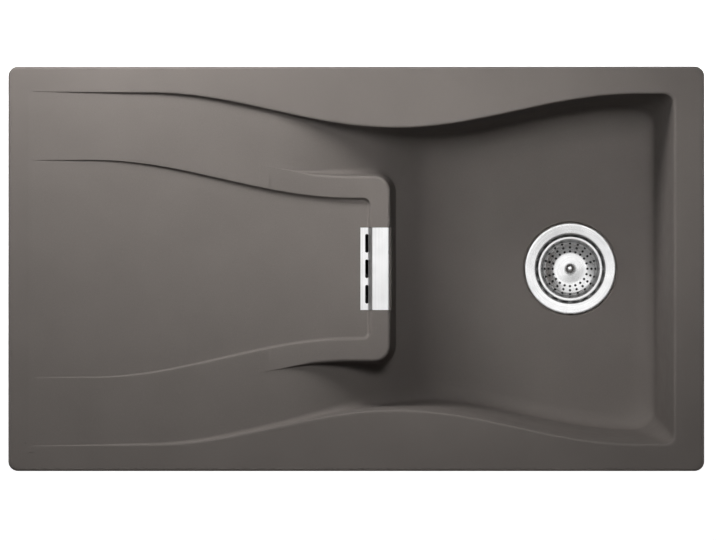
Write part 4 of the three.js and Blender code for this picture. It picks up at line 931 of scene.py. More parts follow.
    def sheet(self, rows: list[tuple[Array, float | None]], under: bool) -> tuple[Array, ...]:
        """Points and numbers of one side of the moulding.

        Args:
            rows: Half loops from outside in, with their heights; None means the surface's height.
            under: Whether this is the underside.

        Returns:
            All points, loop numbers and block numbers.
        """
        surface = self.lower if under else self.upper
        plan = self.whole(np.array([line for line, _ in rows]))
        height = surface(plan[..., 0], plan[..., 1])
        for level, (_, given) in enumerate(rows):
            if given is not None:
                height[level] = given
        loops = np.arange(plan.shape[0] * plan.shape[1]).reshape(plan.shape[:2])
        block, border = self.block_within(plan[-1])
        inner = border < 0
        number = np.where(inner, 0, loops[-1][border])
        number[inner] = loops.size + np.arange(int(inner.sum()))
        middle = block[inner]
        points = np.vstack([
            np.dstack([plan, height]).reshape(-1, 3),
            np.column_stack([middle, surface(middle[:, 0], middle[:, 1])]),
        ])
        return points, loops, number

    def basin(self) -> Shell:
        """Rim, recess and bowl before the ridge, panel and fittings are worked into them."""
        edge = self.edge_loop(np.zeros(2 * self.side_steps + 2 * self.corner_steps + self.edge_steps + 1))
        flat = self.rim_loop(self.edge_round + 0.6)
        low, high, bend = self.rim_under, self.rim_top, self.edge_round
        rim = [(0.8, low), (0.25, low + 0.25), (0.0, low + 0.8), (0.0, high - bend - 0.4)]
        rim += [
            (bend * (1 - math.cos(turn)), high - bend * (1 - math.sin(turn)))
            for turn in np.linspace(0.0, np.pi / 2, 7)
        ]
        rows: list[tuple[Array, float | None]]
        rows = [(self.rim_loop(inset), height) for inset, height in rim]
        rows += [(flat + (edge - flat) * share, self.rim_top) for share in (0.0, 0.35, 0.7, 0.95)]
        full = self.rim_top - self.bottom(edge[:, 0], edge[:, 1], 0.0)
        lips, straights = [0, 16, 32, 48, 64, 76, 85], [0.05, 0.3, 0.6, 0.95]
        bends = [85, 76, 66, 56, 46, 36, 26, 16, 7, 0]
        insets = self.wall_rows(full, 0.0, lips, straights, bends)
        rows += [(self.edge_loop(inset), None) for inset in [*insets, insets[-1] + 0.8]]
        points, loops, block = self.sheet(rows, under=False)

        full = self.rim_top - self.bottom(edge[:, 0], edge[:, 1], self.wall)
        start = self.inset_of_depth(self.rim_top - self.rim_under, full, self.wall)
        insets = self.wall_rows(full, self.wall, [], [0.4, 0.95], [85, 70, 56, 42, 28, 14, 0])
        spread = 0.15 * np.arange(len(insets) + 1)[:, None]
        insets = np.maximum(np.vstack([start, insets]), start) - spread
        insets = np.maximum.accumulate(insets, axis=0) + spread
        outer = self.rim_loop(0.8)
        begin = self.edge_loop(insets[0] - self.wall - 0.5)
        rows = [(outer, self.rim_under)]
        rows += [(outer + (begin - outer) * share, self.rim_under) for share in (0.3, 0.7, 1.0)]
        rows += [(self.edge_loop(inset - self.wall), None) for inset in insets]
        under, under_loops, under_block = self.sheet(rows, under=True)

        shared = under_loops.shape[1]
        shift = len(points) - shared
        under_loops, under_block = under_loops + shift, under_block + shift
        under_loops[0] = loops[0]
        faces = [sheet_faces(loops, block), sheet_faces(under_loops, under_block)[:, ::-1]]
        return Shell(np.vstack([points, under[shared:]]), faces).outward()

    def tilt(self, spot: Array) -> Array:
        """Rise of the bottom along X over one millimetre at each point."""
        x, y = spot.T
        return self.bottom(x + 0.5, y, 0.0) - self.bottom(x - 0.5, y, 0.0)

    def tongue(self, left: float, right: float, corner: float, spread: float) -> Rail:
        """Outline of the panel or ridge.

        From the middle of the right side round a quarter circle and along the waved side, then
        mirrored, so that point i lies opposite point n - 1 - i.

        Args:
            left: Left end.
            right: Right end.
            corner: Radius of the right corners.
            spread: Distance outside the panel's side.

        Returns:
            The outline with its normals.
        """
        reach = float(self.panel_half(right - corner)) + spread - corner
        side = reach * (np.arange(14) + 0.5) / 14
        angle = np.linspace(0.0, np.pi / 2, 15)
        steps = max(int((right - left) / 3.2), 12)
        along = np.linspace(right - corner, left, steps + 1)[1:]
        slope = self.panel_half(along + 0.5) - self.panel_half(along - 0.5)
        scale = np.hypot(1.0, slope)
        x = np.concatenate([np.full_like(side, right), right - corner + corner * np.cos(angle), along])
        y = np.concatenate([side, reach + corner * np.sin(angle), self.panel_half(along) + spread])
        normal_x = np.concatenate([np.ones_like(side), np.cos(angle), -slope / scale])
        normal_y = np.concatenate([np.zeros_like(side), np.sin(angle), 1.0 / scale])
        mirror = np.array([1.0, -1.0])
        upper, normal = np.column_stack([x, y]), np.column_stack([normal_x, normal_y])
        return Rail(np.vstack([upper, upper[::-1] * mirror]), np.vstack([normal, normal[::-1] * mirror]))

    def ridge(self) -> Shell:
        """Ridge round the panel, with a rounded top edge, drafted sides and a rolled foot.

        The foot is the arc of a ball that touches the side and the slope: its centre lies one
        radius from both, and the arc turns evenly from the side's normal to the slope's.
        """
        rail = self.tongue(self.crest_x - self.wall, self.ridge_end_x, self.ridge_corner, self.ridge_side)
        x, y = rail.line.T
        top = self.plateau(x) - self.ridge_rise * np.maximum(self.crest_x + self.ridge_blend - x, 0.0)
        stand = np.maximum(top - self.bottom(x, y, 0.0), 0.0)
        edge = np.clip(0.45 * stand, 0.15, self.ridge_edge)
        foot = np.clip(0.5 * stand, 0.25, self.ridge_foot)
        cos, sin = math.cos(self.draft), math.sin(self.draft)
        rings = [rail.ring(-edge - 0.6, top)]
        for turn in np.linspace(math.pi / 2, self.draft, 7):
            rings.append(rail.ring(edge * (math.cos(turn) - 1), top + edge * (math.sin(turn) - 1)))
        side_out, side_high = edge * (cos - 1), top + edge * (sin - 1)
        out, high = side_out + foot, side_high
        for _ in range(6):
            spot = rail.beside(out)
            high = self.bottom(*spot.T, 0.0) + foot * CROSSING * np.hypot(1.0, self.tilt(spot))
            out = side_out + (foot - (high - side_high) * sin) / cos
        tilt = self.tilt(rail.beside(out))
        ground = np.column_stack([-tilt, np.zeros_like(tilt), np.ones_like(tilt)])
        ground /= np.linalg.norm(ground, axis=1)[:, None]
        face = np.column_stack([rail.normal * cos, np.full(len(tilt), sin)])
        centre = rail.ring(out, high)
        contact = centre - foot[:, None] * face
        begin = rail.ring(side_out, side_high)
        rings += [begin + (contact - begin) * share for share in (0.05, 0.5, 0.95)]
        between = np.arccos(np.clip(np.sum(face * ground, axis=1), -1.0, 1.0))[:, None]
        for share in np.linspace(0.0, 1.0, 9):
            arc = (np.sin((1 - share) * between) * face + np.sin(share * between) * ground) / np.sin(between)
            rings.append(centre - foot[:, None] * arc)
        rings.append(rings[-1] - self.ridge_root * ground)
        return loft(np.array(rings), Cap.LADDER)

    def panel_tool(self) -> Shell:
        """Hollow of the panel: a floor with a rounded foot, leaning sides and a rounded lip."""
        rail = self.tongue(self.panel_x - 2.0, self.panel_end_x, self.panel_corner, 0.0)
        floor = self.panel_floor(rail.line[:, 0])
        level = np.maximum(self.plateau(rail.line[:, 0]), floor + 0.2)
        depth = level - floor
        lean = math.atan2(self.panel_lean, self.panel_depth)
        cos, sin = math.cos(lean), math.sin(lean)
        lip = np.clip(0.4 * depth, 0.03, self.panel_lip)
        foot = np.clip(0.45 * depth, 0.03, self.panel_foot)
        foot_out = -self.panel_lean + foot * (sin - 1.0) / cos
        lip_high = level - CROSSING * lip
        lip_out = -self.panel_lean + (lip + (lip_high - floor) * sin) / cos
        rings = [rail.ring(foot_out - 0.5, floor)]
        for turn in np.linspace(-math.pi / 2, -lean, 6):
            rings.append(rail.ring(foot_out + foot * math.cos(turn), floor + foot * (1 + math.sin(turn))))
        for turn in np.linspace(lean, math.pi / 2, 6):
            rings.append(rail.ring(lip_out - lip * math.cos(turn), lip_high + lip * math.sin(turn)))
        rings.append(rail.ring(lip_out, level + 6.0))
        return loft(np.array(rings), Cap.LADDER)

    def panel_plate(self) -> Shell:
        """Plate under the panel, one wall thick below its floor."""
        wall = self.wall
        line = self.tongue(self.panel_x - wall, self.panel_end_x + wall, self.panel_corner + wall, wall).line
        heights = (self.panel_floor(line[:, 0]) - wall - 0.6, self.plateau(line[:, 0]) - wall / 4)
        return loft(np.array([np.column_stack([line, height]) for height in heights]), Cap.LADDER)

    def space_under_panel(self) -> Shell:
        """Space under the ridge and panel, open below, its sides drafted like the ridge's."""
        wall, reach = self.wall, self.space_reach
        rail = self.tongue(
            self.crest_x + wall, self.ridge_end_x - wall, self.ridge_corner - wall, self.ridge_side - wall
        )
        low, x = rail.line + rail.normal * reach * math.tan(self.draft), rail.line[:, 0]
        rings = [
            np.column_stack([low, self.plateau(x) - reach]),
            np.column_stack([rail.line, self.panel_floor(x) - wall]),
        ]
        return loft(np.array(rings), Cap.LADDER)

    def cover_line(self) -> Array:
        """Upper face of the overflow cover in x and z, from its foot in the panel to its lip's end.

        Returns:
            Rows of x and z.
        """
        foot = float(self.panel_floor(self.panel_end_x))
        lip, top = self.ridge_end_x - 2 * self.cover_sheet / 3, self.ridge_end_top
        fold = 2 * self.cover_sheet
        start, rise = self.panel_end_x, self.cover_rise
        return np.array([
            [start - self.cover_foot, foot], [start - rise, foot], [start + rise, top], [lip - fold, top],
            [lip - 0.3 * fold, top - 0.3 * fold], [lip, top - fold], [lip, top - self.cover_lip],
        ])

    def cover_rebate(self) -> Shell:
        """Rebate that the overflow cover lies in, open above and towards the bowl."""
        under = mitred(self.cover_line(), self.cover_sheet + SEAT_GAP)
        far, low = self.ridge_end_x + self.ridge_width, under[-1, 1] - self.wall / 4
        start = under[0, 0] - SEAT_GAP
        corners = [(start, under[0, 1], 0.3)]
        corners += [(x, z, 0.8) for x, z in under[1:-1]]
        above = self.rim_top + 10.0
        corners += [(under[-1, 0], low, 0.8), (far, low, 0), (far, above, 0), (start, above, 0)]
        return run_across(softened(corners, 3), 2 * (self.cover_half + self.cover_side_gap))

    def seat_tool(self) -> Shell:
        """Drain seat and hole, with a rounded edge where the seat meets the dished floor."""
        seat, hole, low = self.seat_radius, self.drain_hole, self.boss_under - 10
        edge = float(self.bottom(self.drain_x + seat, 0.0, 0.0))
        return turned([
            (0, low, 0), (hole, low, 0), (hole, self.seat_z, 1.2), (seat, self.seat_z, 0.8),
            (seat, edge - 0.1, 1.6), (seat + 3.0, edge + 0.12, 0), (seat + 3.0, edge + 12, 0),
            (0, edge + 12, 0),
        ], 128, 5).placed(x=self.drain_x)

    def clamp_places(self) -> list[Triple]:
        """Where each clamp stands, and the turn of its arm when it is stowed."""
        edge, end = self.width / 2 - self.clamp_inset, self.length / 2 - self.clamp_end_inset
        sides = [
            (station - self.length / 2, side * edge, (side - 1) * math.pi / 2)
            for side in (1, -1) for station in self.clamp_stations
        ]
        return [*sides, (end, 0.0, -math.pi / 2), (-end, 0.0, math.pi / 2)]

    def clamp_boss(self) -> Shell:
        """Boss for a clamp's insert, drafted and flared into the rim's underside."""
        half, low = self.clamp_boss_half, self.clamp_boss_under
        side = [(half - 1.4, low), (half - 0.5, low + 0.4), (half - 0.1, low + 1.3), (half, 0.0)]
        side += [(half + 0.3, 1.0), (half + 1.0, 1.7), (half + 2.6, 2.2), (half + 2.6, 3.0)]
        return stacked([(rounded_rectangle(out, out, out * 0.35, 5), height) for out, height in side])

    def mesh(self) -> Mesh:
        """The whole moulding in one closed mesh."""
        pad_right = self.ridge_end_x - self.wall / 2
        pad_x = (self.overflow_x - self.pad_half_width + pad_right) / 2
        pad_top = float(self.panel_floor(self.panel_end_x)) - self.wall / 4
        pad = softened_block(pad_right - pad_x, self.pad_half_length, self.pad_under, pad_top, 3.0, 0.8)
        pad = pad.placed(x=pad_x)
        radius, low, high = self.boss_radius, self.boss_under, self.seat_z + 1.5
        boss = turned([(0, low, 0), (radius, low, 1.5), (radius, high, 0), (0, high, 0)], 128)
        boss = boss.placed(x=self.drain_x)
        well = stacked([
            (rounded_rectangle(self.pocket_half_width, self.pocket_half_length, 3.0), height)
            for height in (self.pad_under - 10, self.ridge_end_top)
        ]).placed(x=self.overflow_x)
        tunnel_x = (self.overflow_x + self.ridge_end_x + 10) / 2
        tunnel = softened_block(
            self.ridge_end_x + 10 - tunnel_x, self.tunnel_half_length,
            self.tunnel_low, self.tunnel_high, 1.0, 0.6,
        ).placed(x=tunnel_x)
        clamps = [self.clamp_boss().placed(x=x, y=y) for x, y, _ in self.clamp_places()]
        steps = [
            (Cut.JOIN, self.ridge()), (Cut.JOIN, self.panel_plate()), (Cut.REMOVE, self.space_under_panel()),
            *[(Cut.JOIN, shape) for shape in (boss, pad, *clamps)],
        ]
        tools = (self.panel_tool(), self.seat_tool(), self.cover_rebate(), well, tunnel)
        hole = pin(self.overflow_screw_hole, self.pad_under - 5, self.pad_under + 11, 24)
        insert = pin(self.clamp_hole, self.clamp_boss_under - 2, self.clamp_hole_top, 32)
        tap = pin(self.tap_radius, self.rim_under - 2, self.rim_under + self.tap_recess, 64)
        holes = [hole.placed(x=self.overflow_x, y=side * self.overflow_screw_y) for side in (1, -1)]
        holes += [insert.placed(x=x, y=y) for x, y, _ in self.clamp_places()]
        holes += [tap.placed(x=self.waist_x, y=side * self.tap_y) for side in (1, -1)]
        steps += [(Cut.REMOVE, tool) for tool in (*tools, gathered(holes))]
        return carved("sink_moulding", self.basin(), steps)


def pin(radius: float, low: float, high: float, sides: int) -> Shell:
    """Plain round tool between two heights about the Z axis."""
    return revolve(np.array([[0, low], [radius, low], [radius, high], [0, high]]), sides)


def tube(inner: float, outer: float, low: float, high: float, sides: int, edge: float = 0.2) -> Shell:
    """Ring about the Z axis with softened edges."""
    corners = [(inner, low, edge), (outer, low, edge), (outer, high, edge), (inner, high, edge)]
    return turned(corners, sides, 3, closed=True)


def along_x(outline: Array, low: float, high: float) -> Shell:
    """Outline of y and z run along X between two places."""
    rings = [np.column_stack([np.full(len(outline), x), outline]) for x in (low, high)]
    return loft(np.array(rings), Cap.FACE)


def lain_along_x(shell: Shell, x: float, z: float) -> Shell:
    """Shell about the Z axis laid along X: its top end points to +X from x, at height z."""
    lain = shell.points @ np.array([[0.0, 0.0, -1.0], [0.0, 1.0, 0.0], [1.0, 0.0, 0.0]])
    return Shell(lain + np.array([x, 0.0, z]), shell.faces)


def round_places(count: int, radius: float) -> list[tuple[float, float]]:
    """Places spread evenly round a circle about the origin."""
    angles = np.arange(count) * (2 * math.pi / count)
    return [(radius * math.cos(angle), radius * math.sin(angle)) for angle in angles]


def brass_insert(
    bore: float, radius: float, span: tuple[float, float], ends: tuple[float, float],
    rows: int, sides: int, wave: Wave,
) -> Shell:
    """Insert about the Z axis with chamfered ends, its outside worked by a wave.

    Args:
        bore: Radius of its bore.
        radius: Its outer radius.
        span: Heights of its ends.
        ends: Size of the chamfers, and how far the worked outside keeps from the ends.
        rows: Rows of points down its outside.
        sides: Number of steps round the axis.
        wave: Change of the outer radius.

    Returns:
        The closed shell.
    """
    (low, high), (chamfer, margin) = span, ends
    inside = [(bore, high - chamfer), (bore, low + chamfer), (bore + chamfer, low), (radius - chamfer, low)]
    outside = np.column_stack([np.full(rows, radius), np.linspace(low + margin, high - margin, rows)])
    profile = np.vstack([inside, outside, [(radius - chamfer, high), (bore + chamfer, high)]])
    return revolve(profile, sides, lambda turn, r, height: wave(turn, r, height) * (r > radius - 0.1))


def fading(height: Array, low: float, high: float, run: float) -> Array:
    """Share from 0 to 1 that fades in over a run inside both ends of a range of heights."""
    return np.clip((height - low) / run, 0.0, 1.0) * np.clip((high - height) / run, 0.0, 1.0)


@dataclass(frozen=True)
class Thread:
    """Helical thread cut into a shank, or raised on a neck where its depth is negative."""

    pitch: float
    depth: float
    low: float
    high: float
    steps: int = 7

    def rows(self, radius: float) -> Array:
        """Rows of radius and height that carry the thread."""
        count = max(int((self.high - self.low) / self.pitch * self.steps), 2)
        return np.column_stack([np.full(count, radius), np.linspace(self.low, self.high, count)])

    def wave(self, angle: Array, radius: Array, height: Array) -> Array:
        """Change of radius: half of 1 + cos of the turns along the helix, times the depth.

        Args:
            angle: Angles about the axis.
            radius: Radii, which it leaves alone.
            height: Heights.

        Returns:
            What is added to each radius.
        """
        turns = height / self.pitch - angle / (2 * np.pi)
        ends = fading(height, self.low, self.high, self.pitch)
        return -self.depth * swell(2 * (turns - np.round(turns))) * ends


@dataclass(frozen=True)
class PanScrew:
    """Pan-head screw about the Z axis, its head under z = 0 and its thread above."""

    radius: float
    head_radius: float
    head_height: float
    reach: float
    pitch: float
    thread_from: float = 2.0
    sides: int = 24

    def mesh(self, name: str) -> Mesh:
        """Screw with a helical thread and a crossed recess in its head.

        Args:
            name: Name of the mesh.

        Returns:
            The screw about the Z axis.
        """
        radius, wide, high = self.radius, self.head_radius, self.head_height
        thread = Thread(self.pitch, 0.16 * radius, self.thread_from, self.reach - 0.5 * radius)
        head = softened([
            (0, -high, 0), (0.7 * wide, -high, 0.28 * wide), (wide, -0.5 * high, 0.3 * wide),
            (wide, 0, 0.2), (radius, 0, 0.1), (radius, 0.5 * self.thread_from, 0),
        ], 4, closed=False)
        tip = [(0.45 * radius, self.reach), (0.0, self.reach)]
        body = revolve(np.vstack([head, thread.rows(radius), tip]), self.sides, thread.wave)
        recess = stacked([
            (rounded_rectangle(0.5 * wide * spread, 0.11 * wide * spread, 0.05, 2), height)
            for spread, height in ((1.15, -high - 0.5), (0.7, -0.35 * high))
        ])
        return carved(name, body, [(Cut.REMOVE, recess), (Cut.REMOVE, recess.placed(turn=math.pi / 2))])


@dataclass
class RimSeal:
    """Rubber seal laid under the rim, all the way round."""

    half_x: float = 430.0
    half_y: float = 250.0
    plan_corner: float = 12.0
    inset: float = 2.0
    width: float = 6.0
    thickness: float = 1.7

    def shape(self) -> Shell:
        """Rounded section swept round the rim's outline."""
        near, far = self.inset, self.inset + self.width
        section = softened([
            (near, 0, 0.7), (far, 0, 0.7), (far, self.thickness, 0.7), (near, self.thickness, 0.7)
        ], 3)
        half_x, half_y, corner = self.half_x, self.half_y, self.plan_corner
        return stacked([
            (rounded_rectangle(half_x - inset, half_y - inset, corner - inset, 10), height)
            for inset, height in section
        ], Cap.JOINED)

    def dress(self, dresser: Dresser) -> None:
        """Shows the seal."""
        dresser.show("rim_seal", self.shape(), "rubber")


@dataclass
class Overflow:
    """Overflow set: steel cover, gasket, plastic body, its screws, and the hose with its nuts."""

    moulding: Moulding
    slot_half: float = 11.5
    slot_spacing: float = 31.5
    foot_slot_x: tuple[float, float] = (11.0, 15.0)
    lip_slot_z: tuple[float, float] = (-14.5, -9.0)
    x: float = 18.8
    gasket_z: tuple[float, float] = (-22.3, -20.3)
    gasket_half_length: float = 53.4
    gasket_hole: Triple = (8.0, 47.0, 4.0)
    flange_z: tuple[float, float] = (-25.6, -22.6)
    flange_half: float = 15.0
    flange_half_length: float = 64.0
    flange_corner: float = 7.5
    tray_top: Triple = (7.7, 46.7, 3.85)
    tray_bends: Triple = (-33.3, -46.7, -51.7)
    wall: float = 2.2
    end_z: float = -64.0
    screw_y: float = 58.0
    screw_hole: float = 2.1
    screw: PanScrew = PanScrew(1.8, 4.0, 2.5, 15.9, 1.3, thread_from=1.5)
    hose_radius: float = 12.0
    rib_depth: float = 1.4
    hose_wall: float = 1.2
    rib_pitch: float = 5.0
    hose_sides: int = 36
    bend: float = 85.0
    spigot_z: float = -236.0
    spigot_end_x: float = 190.5
    nut_wall: float = 4.0
    nut_length: float = 18.0
    nut_overlap: float = 6.0
    flutes: int = 18
    flute_depth: float = 0.9

    def cover(self) -> Mesh:
        """Folded cover with three slots in its foot and three in its lip."""
        line, sheet = self.moulding.cover_line(), self.moulding.cover_sheet
        foot, rise, top = line[:3]
        corner = (line[5, 0], top[1])
        folds = [(*foot, 0), (*rise, 1.3), (*top, 1.3), (*corner, 2.4), (*line[6], 0)]
        low, high = self.foot_slot_x
        slot = rounded_rectangle((high - low) / 2, self.slot_half, (high - low) / 2 - 0.05)
        foot_slot = stacked([(slot, foot[1] - 3 * sheet), (slot, foot[1] + 2 * sheet)])
        foot_slot = foot_slot.placed(x=(low + high) / 2)
        under, over = self.lip_slot_z
        slot = rounded_rectangle(self.slot_half, (over - under) / 2, (over - under) / 2 - 0.05)
        lip_slot = along_x(slot + np.array([0.0, (under + over) / 2]), corner[0] - 6, corner[0] + 4)
        shifts = (-self.slot_spacing, 0.0, self.slot_spacing)
        tools = [tool.placed(y=shift) for shift in shifts for tool in (foot_slot, lip_slot)]
        blank = run_across(hollow_line(folds, sheet), 2 * self.moulding.cover_half)
        return carved("overflow_cover", blank, [(Cut.REMOVE, gathered(tools))])

    def gasket(self) -> Shell:
        """Flat rubber ring round the pocket."""
        low, high = self.gasket_z
        outer = rounded_rectangle(self.flange_half, self.gasket_half_length, self.flange_corner)
        inner = rounded_rectangle(*self.gasket_hole)
        rings = [(outer, low), (outer, high), (inner, high), (inner, low)]
        return stacked(rings, Cap.JOINED).placed(x=self.x)

    def tray(self, extra: float, radius: float, top: float, bottom: float) -> Shell:
        """Tray that narrows from the pocket's outline to a round spigot.

        Args:
            extra: Distance outside the pocket's walls.
            radius: Radius of the round end.
            top: Height of its upper end.
            bottom: Height of its lower end.

        Returns:
            The tray as a solid tool.
        """
        half_x, half_y, corner = (size + extra for size in self.tray_top)
        upper, middle, lower = self.tray_bends
        stations = softened([
            (half_x, half_y, corner, top, 0), (half_x, half_y, corner, upper, 5.0),
            (radius, self.tray_top[1] / 2 + extra, radius, middle, 5.0),
            (radius, radius, radius, lower, 2.5), (radius, radius, radius, bottom, 0),
        ], 6, closed=False)
        return stacked([
            (rounded_rectangle(a + 1e-3, b + 1e-3, c, 10), height) for a, b, c, height in stations
        ]).placed(x=self.x)

    def body(self) -> Mesh:
        """Body with its screwed flange, tray and spigot, hollow all through."""
        low, high = self.flange_z
        half, corner = self.flange_half, self.flange_corner
        flange = softened_block(half, self.flange_half_length, low, high, corner, 0.5)
        hole = pin(self.screw_hole, low - 5, high + 5, 24)
        steps = [
            (Cut.JOIN, self.tray(self.wall, self.hose_radius, high - 1.5, self.end_z)),
            (Cut.REMOVE, self.tray(0.0, self.hose_radius - self.wall, high + 6, self.end_z - 6)),
        ]
        steps += [(Cut.REMOVE, hole.placed(x=self.x, y=side * self.screw_y)) for side in (1, -1)]
        return carved("overflow_body", flange.placed(x=self.x), steps)

    def hose(self) -> Shell:
        """Ribbed hose with its bore: straight down, a quarter bend, then level.

        The radius is the mean of crest and root plus a squared-off sine of the length, and the
        cuffs are smooth. A point's place is the centreline's plus the radius along its two normals.
        """
        start_z = self.end_z - SEAT_GAP
        down = start_z - self.spigot_z - self.bend
        turn = self.bend * np.pi / 2
        total = down + turn + self.spigot_end_x - SEAT_GAP - self.x - self.bend
        cuff, root = 2 * self.hose_radius, self.hose_radius - self.rib_depth
        ribs = int((total - 2 * cuff) / self.rib_pitch)
        length = np.linspace(cuff, total - cuff, ribs * 10 + 1)
        wave = -np.sin(2 * np.pi * ribs * (length - cuff) / (total - 2 * cuff))
        ribbed = root + self.rib_depth * (0.5 + 0.5 * np.sign(wave) * np.abs(wave) ** 0.6)
        start_run = np.array([0.0, 0.4, 0.9, cuff - 1])
        run = np.concatenate([start_run, length, total - start_run[::-1]])
        soft = [self.hose_radius - 0.5, self.hose_radius - 0.1, self.hose_radius, self.hose_radius]
        outside = np.concatenate([soft, ribbed, soft[::-1]])
        back = np.linspace(total, 0.0, 62)
        run = np.concatenate([run, back])
        radius = np.concatenate([outside, np.full_like(back, root - self.hose_wall)])
        angle = np.clip((run - down) / turn, 0.0, 1.0) * np.pi / 2
        x = self.x + self.bend * (1 - np.cos(angle)) + np.maximum(run - down - turn, 0.0)
        z = start_z - np.minimum(run, down) - self.bend * np.sin(angle)
        spin = np.arange(self.hose_sides) * (2 * np.pi / self.hose_sides)
        reach = radius[:, None] * np.cos(spin)
        rings = np.stack([
            x[:, None] + reach * np.cos(angle)[:, None],
            np.broadcast_to(radius[:, None] * np.sin(spin), reach.shape),
            z[:, None] + reach * np.sin(angle)[:, None],
        ], axis=-1)
        return loft(rings, Cap.JOINED)

    def nut(self) -> Shell:
        """Hose nut about the Z axis with finger flutes, its upper end one overlap above z = 0."""
        inner = self.hose_radius + BORE_GAP
        outer = inner + self.nut_wall
        low, high = self.nut_overlap - self.nut_length, self.nut_overlap
        foot = [(inner, high, 0), (inner, low, 0.4), (outer, low, 1.0), (outer, low + 1.3, 0)]
        head = [(outer, high - 3.6, 0), (outer, high, 1.4), (inner + 1, high, 0)]
        grip = np.column_stack([np.full(12, outer), np.linspace(low + 1.5, high - 4.0, 12)])
        profile = np.vstack([softened(foot, 3, False), grip, softened(head, 3, False)])

        def flute(angle: Array, radius: Array, height: Array) -> Array:
            """Finger flutes that fade out towards both ends."""
            depth = self.flute_depth * (0.5 - 0.5 * np.cos(self.flutes * angle)) ** 3
            return -depth * fading(height, low + 1.0, high - 3.0, 1.5) * (radius > outer - 0.1)

        return revolve(profile, self.flutes * 8, flute)

    def dress(self, dresser: Dresser) -> None:
        """Shows every piece of the set.

        Args:
            dresser: Shows the pieces and keeps them.
        """
        dresser.show("overflow_cover", self.cover(), "satin_steel", "cover", bevel=Bevel(0.16, 2, 30))
        dresser.show("overflow_gasket", self.gasket(), "rubber", bevel=Bevel(0.25))
        dresser.show("overflow_body", self.body(), "black_plastic")
        dresser.show("overflow_hose", self.hose(), "grey_plastic")
        nut, screw = self.nut(), self.screw.mesh("overflow_screw")
        dresser.show("hose_nut_upper", nut.placed(x=self.x, z=self.end_z), "black_plastic")
        lower = lain_along_x(nut, self.spigot_end_x, self.spigot_z)
        dresser.show("hose_nut_lower", lower, "black_plastic")
        for number, y in ((1, self.screw_y), (2, -self.screw_y)):
            copy = moved(screw, self.x, y, self.flange_z[0] - SEAT_GAP)
            dresser.show(f"overflow_screw_{number}", copy, "zinced_steel")


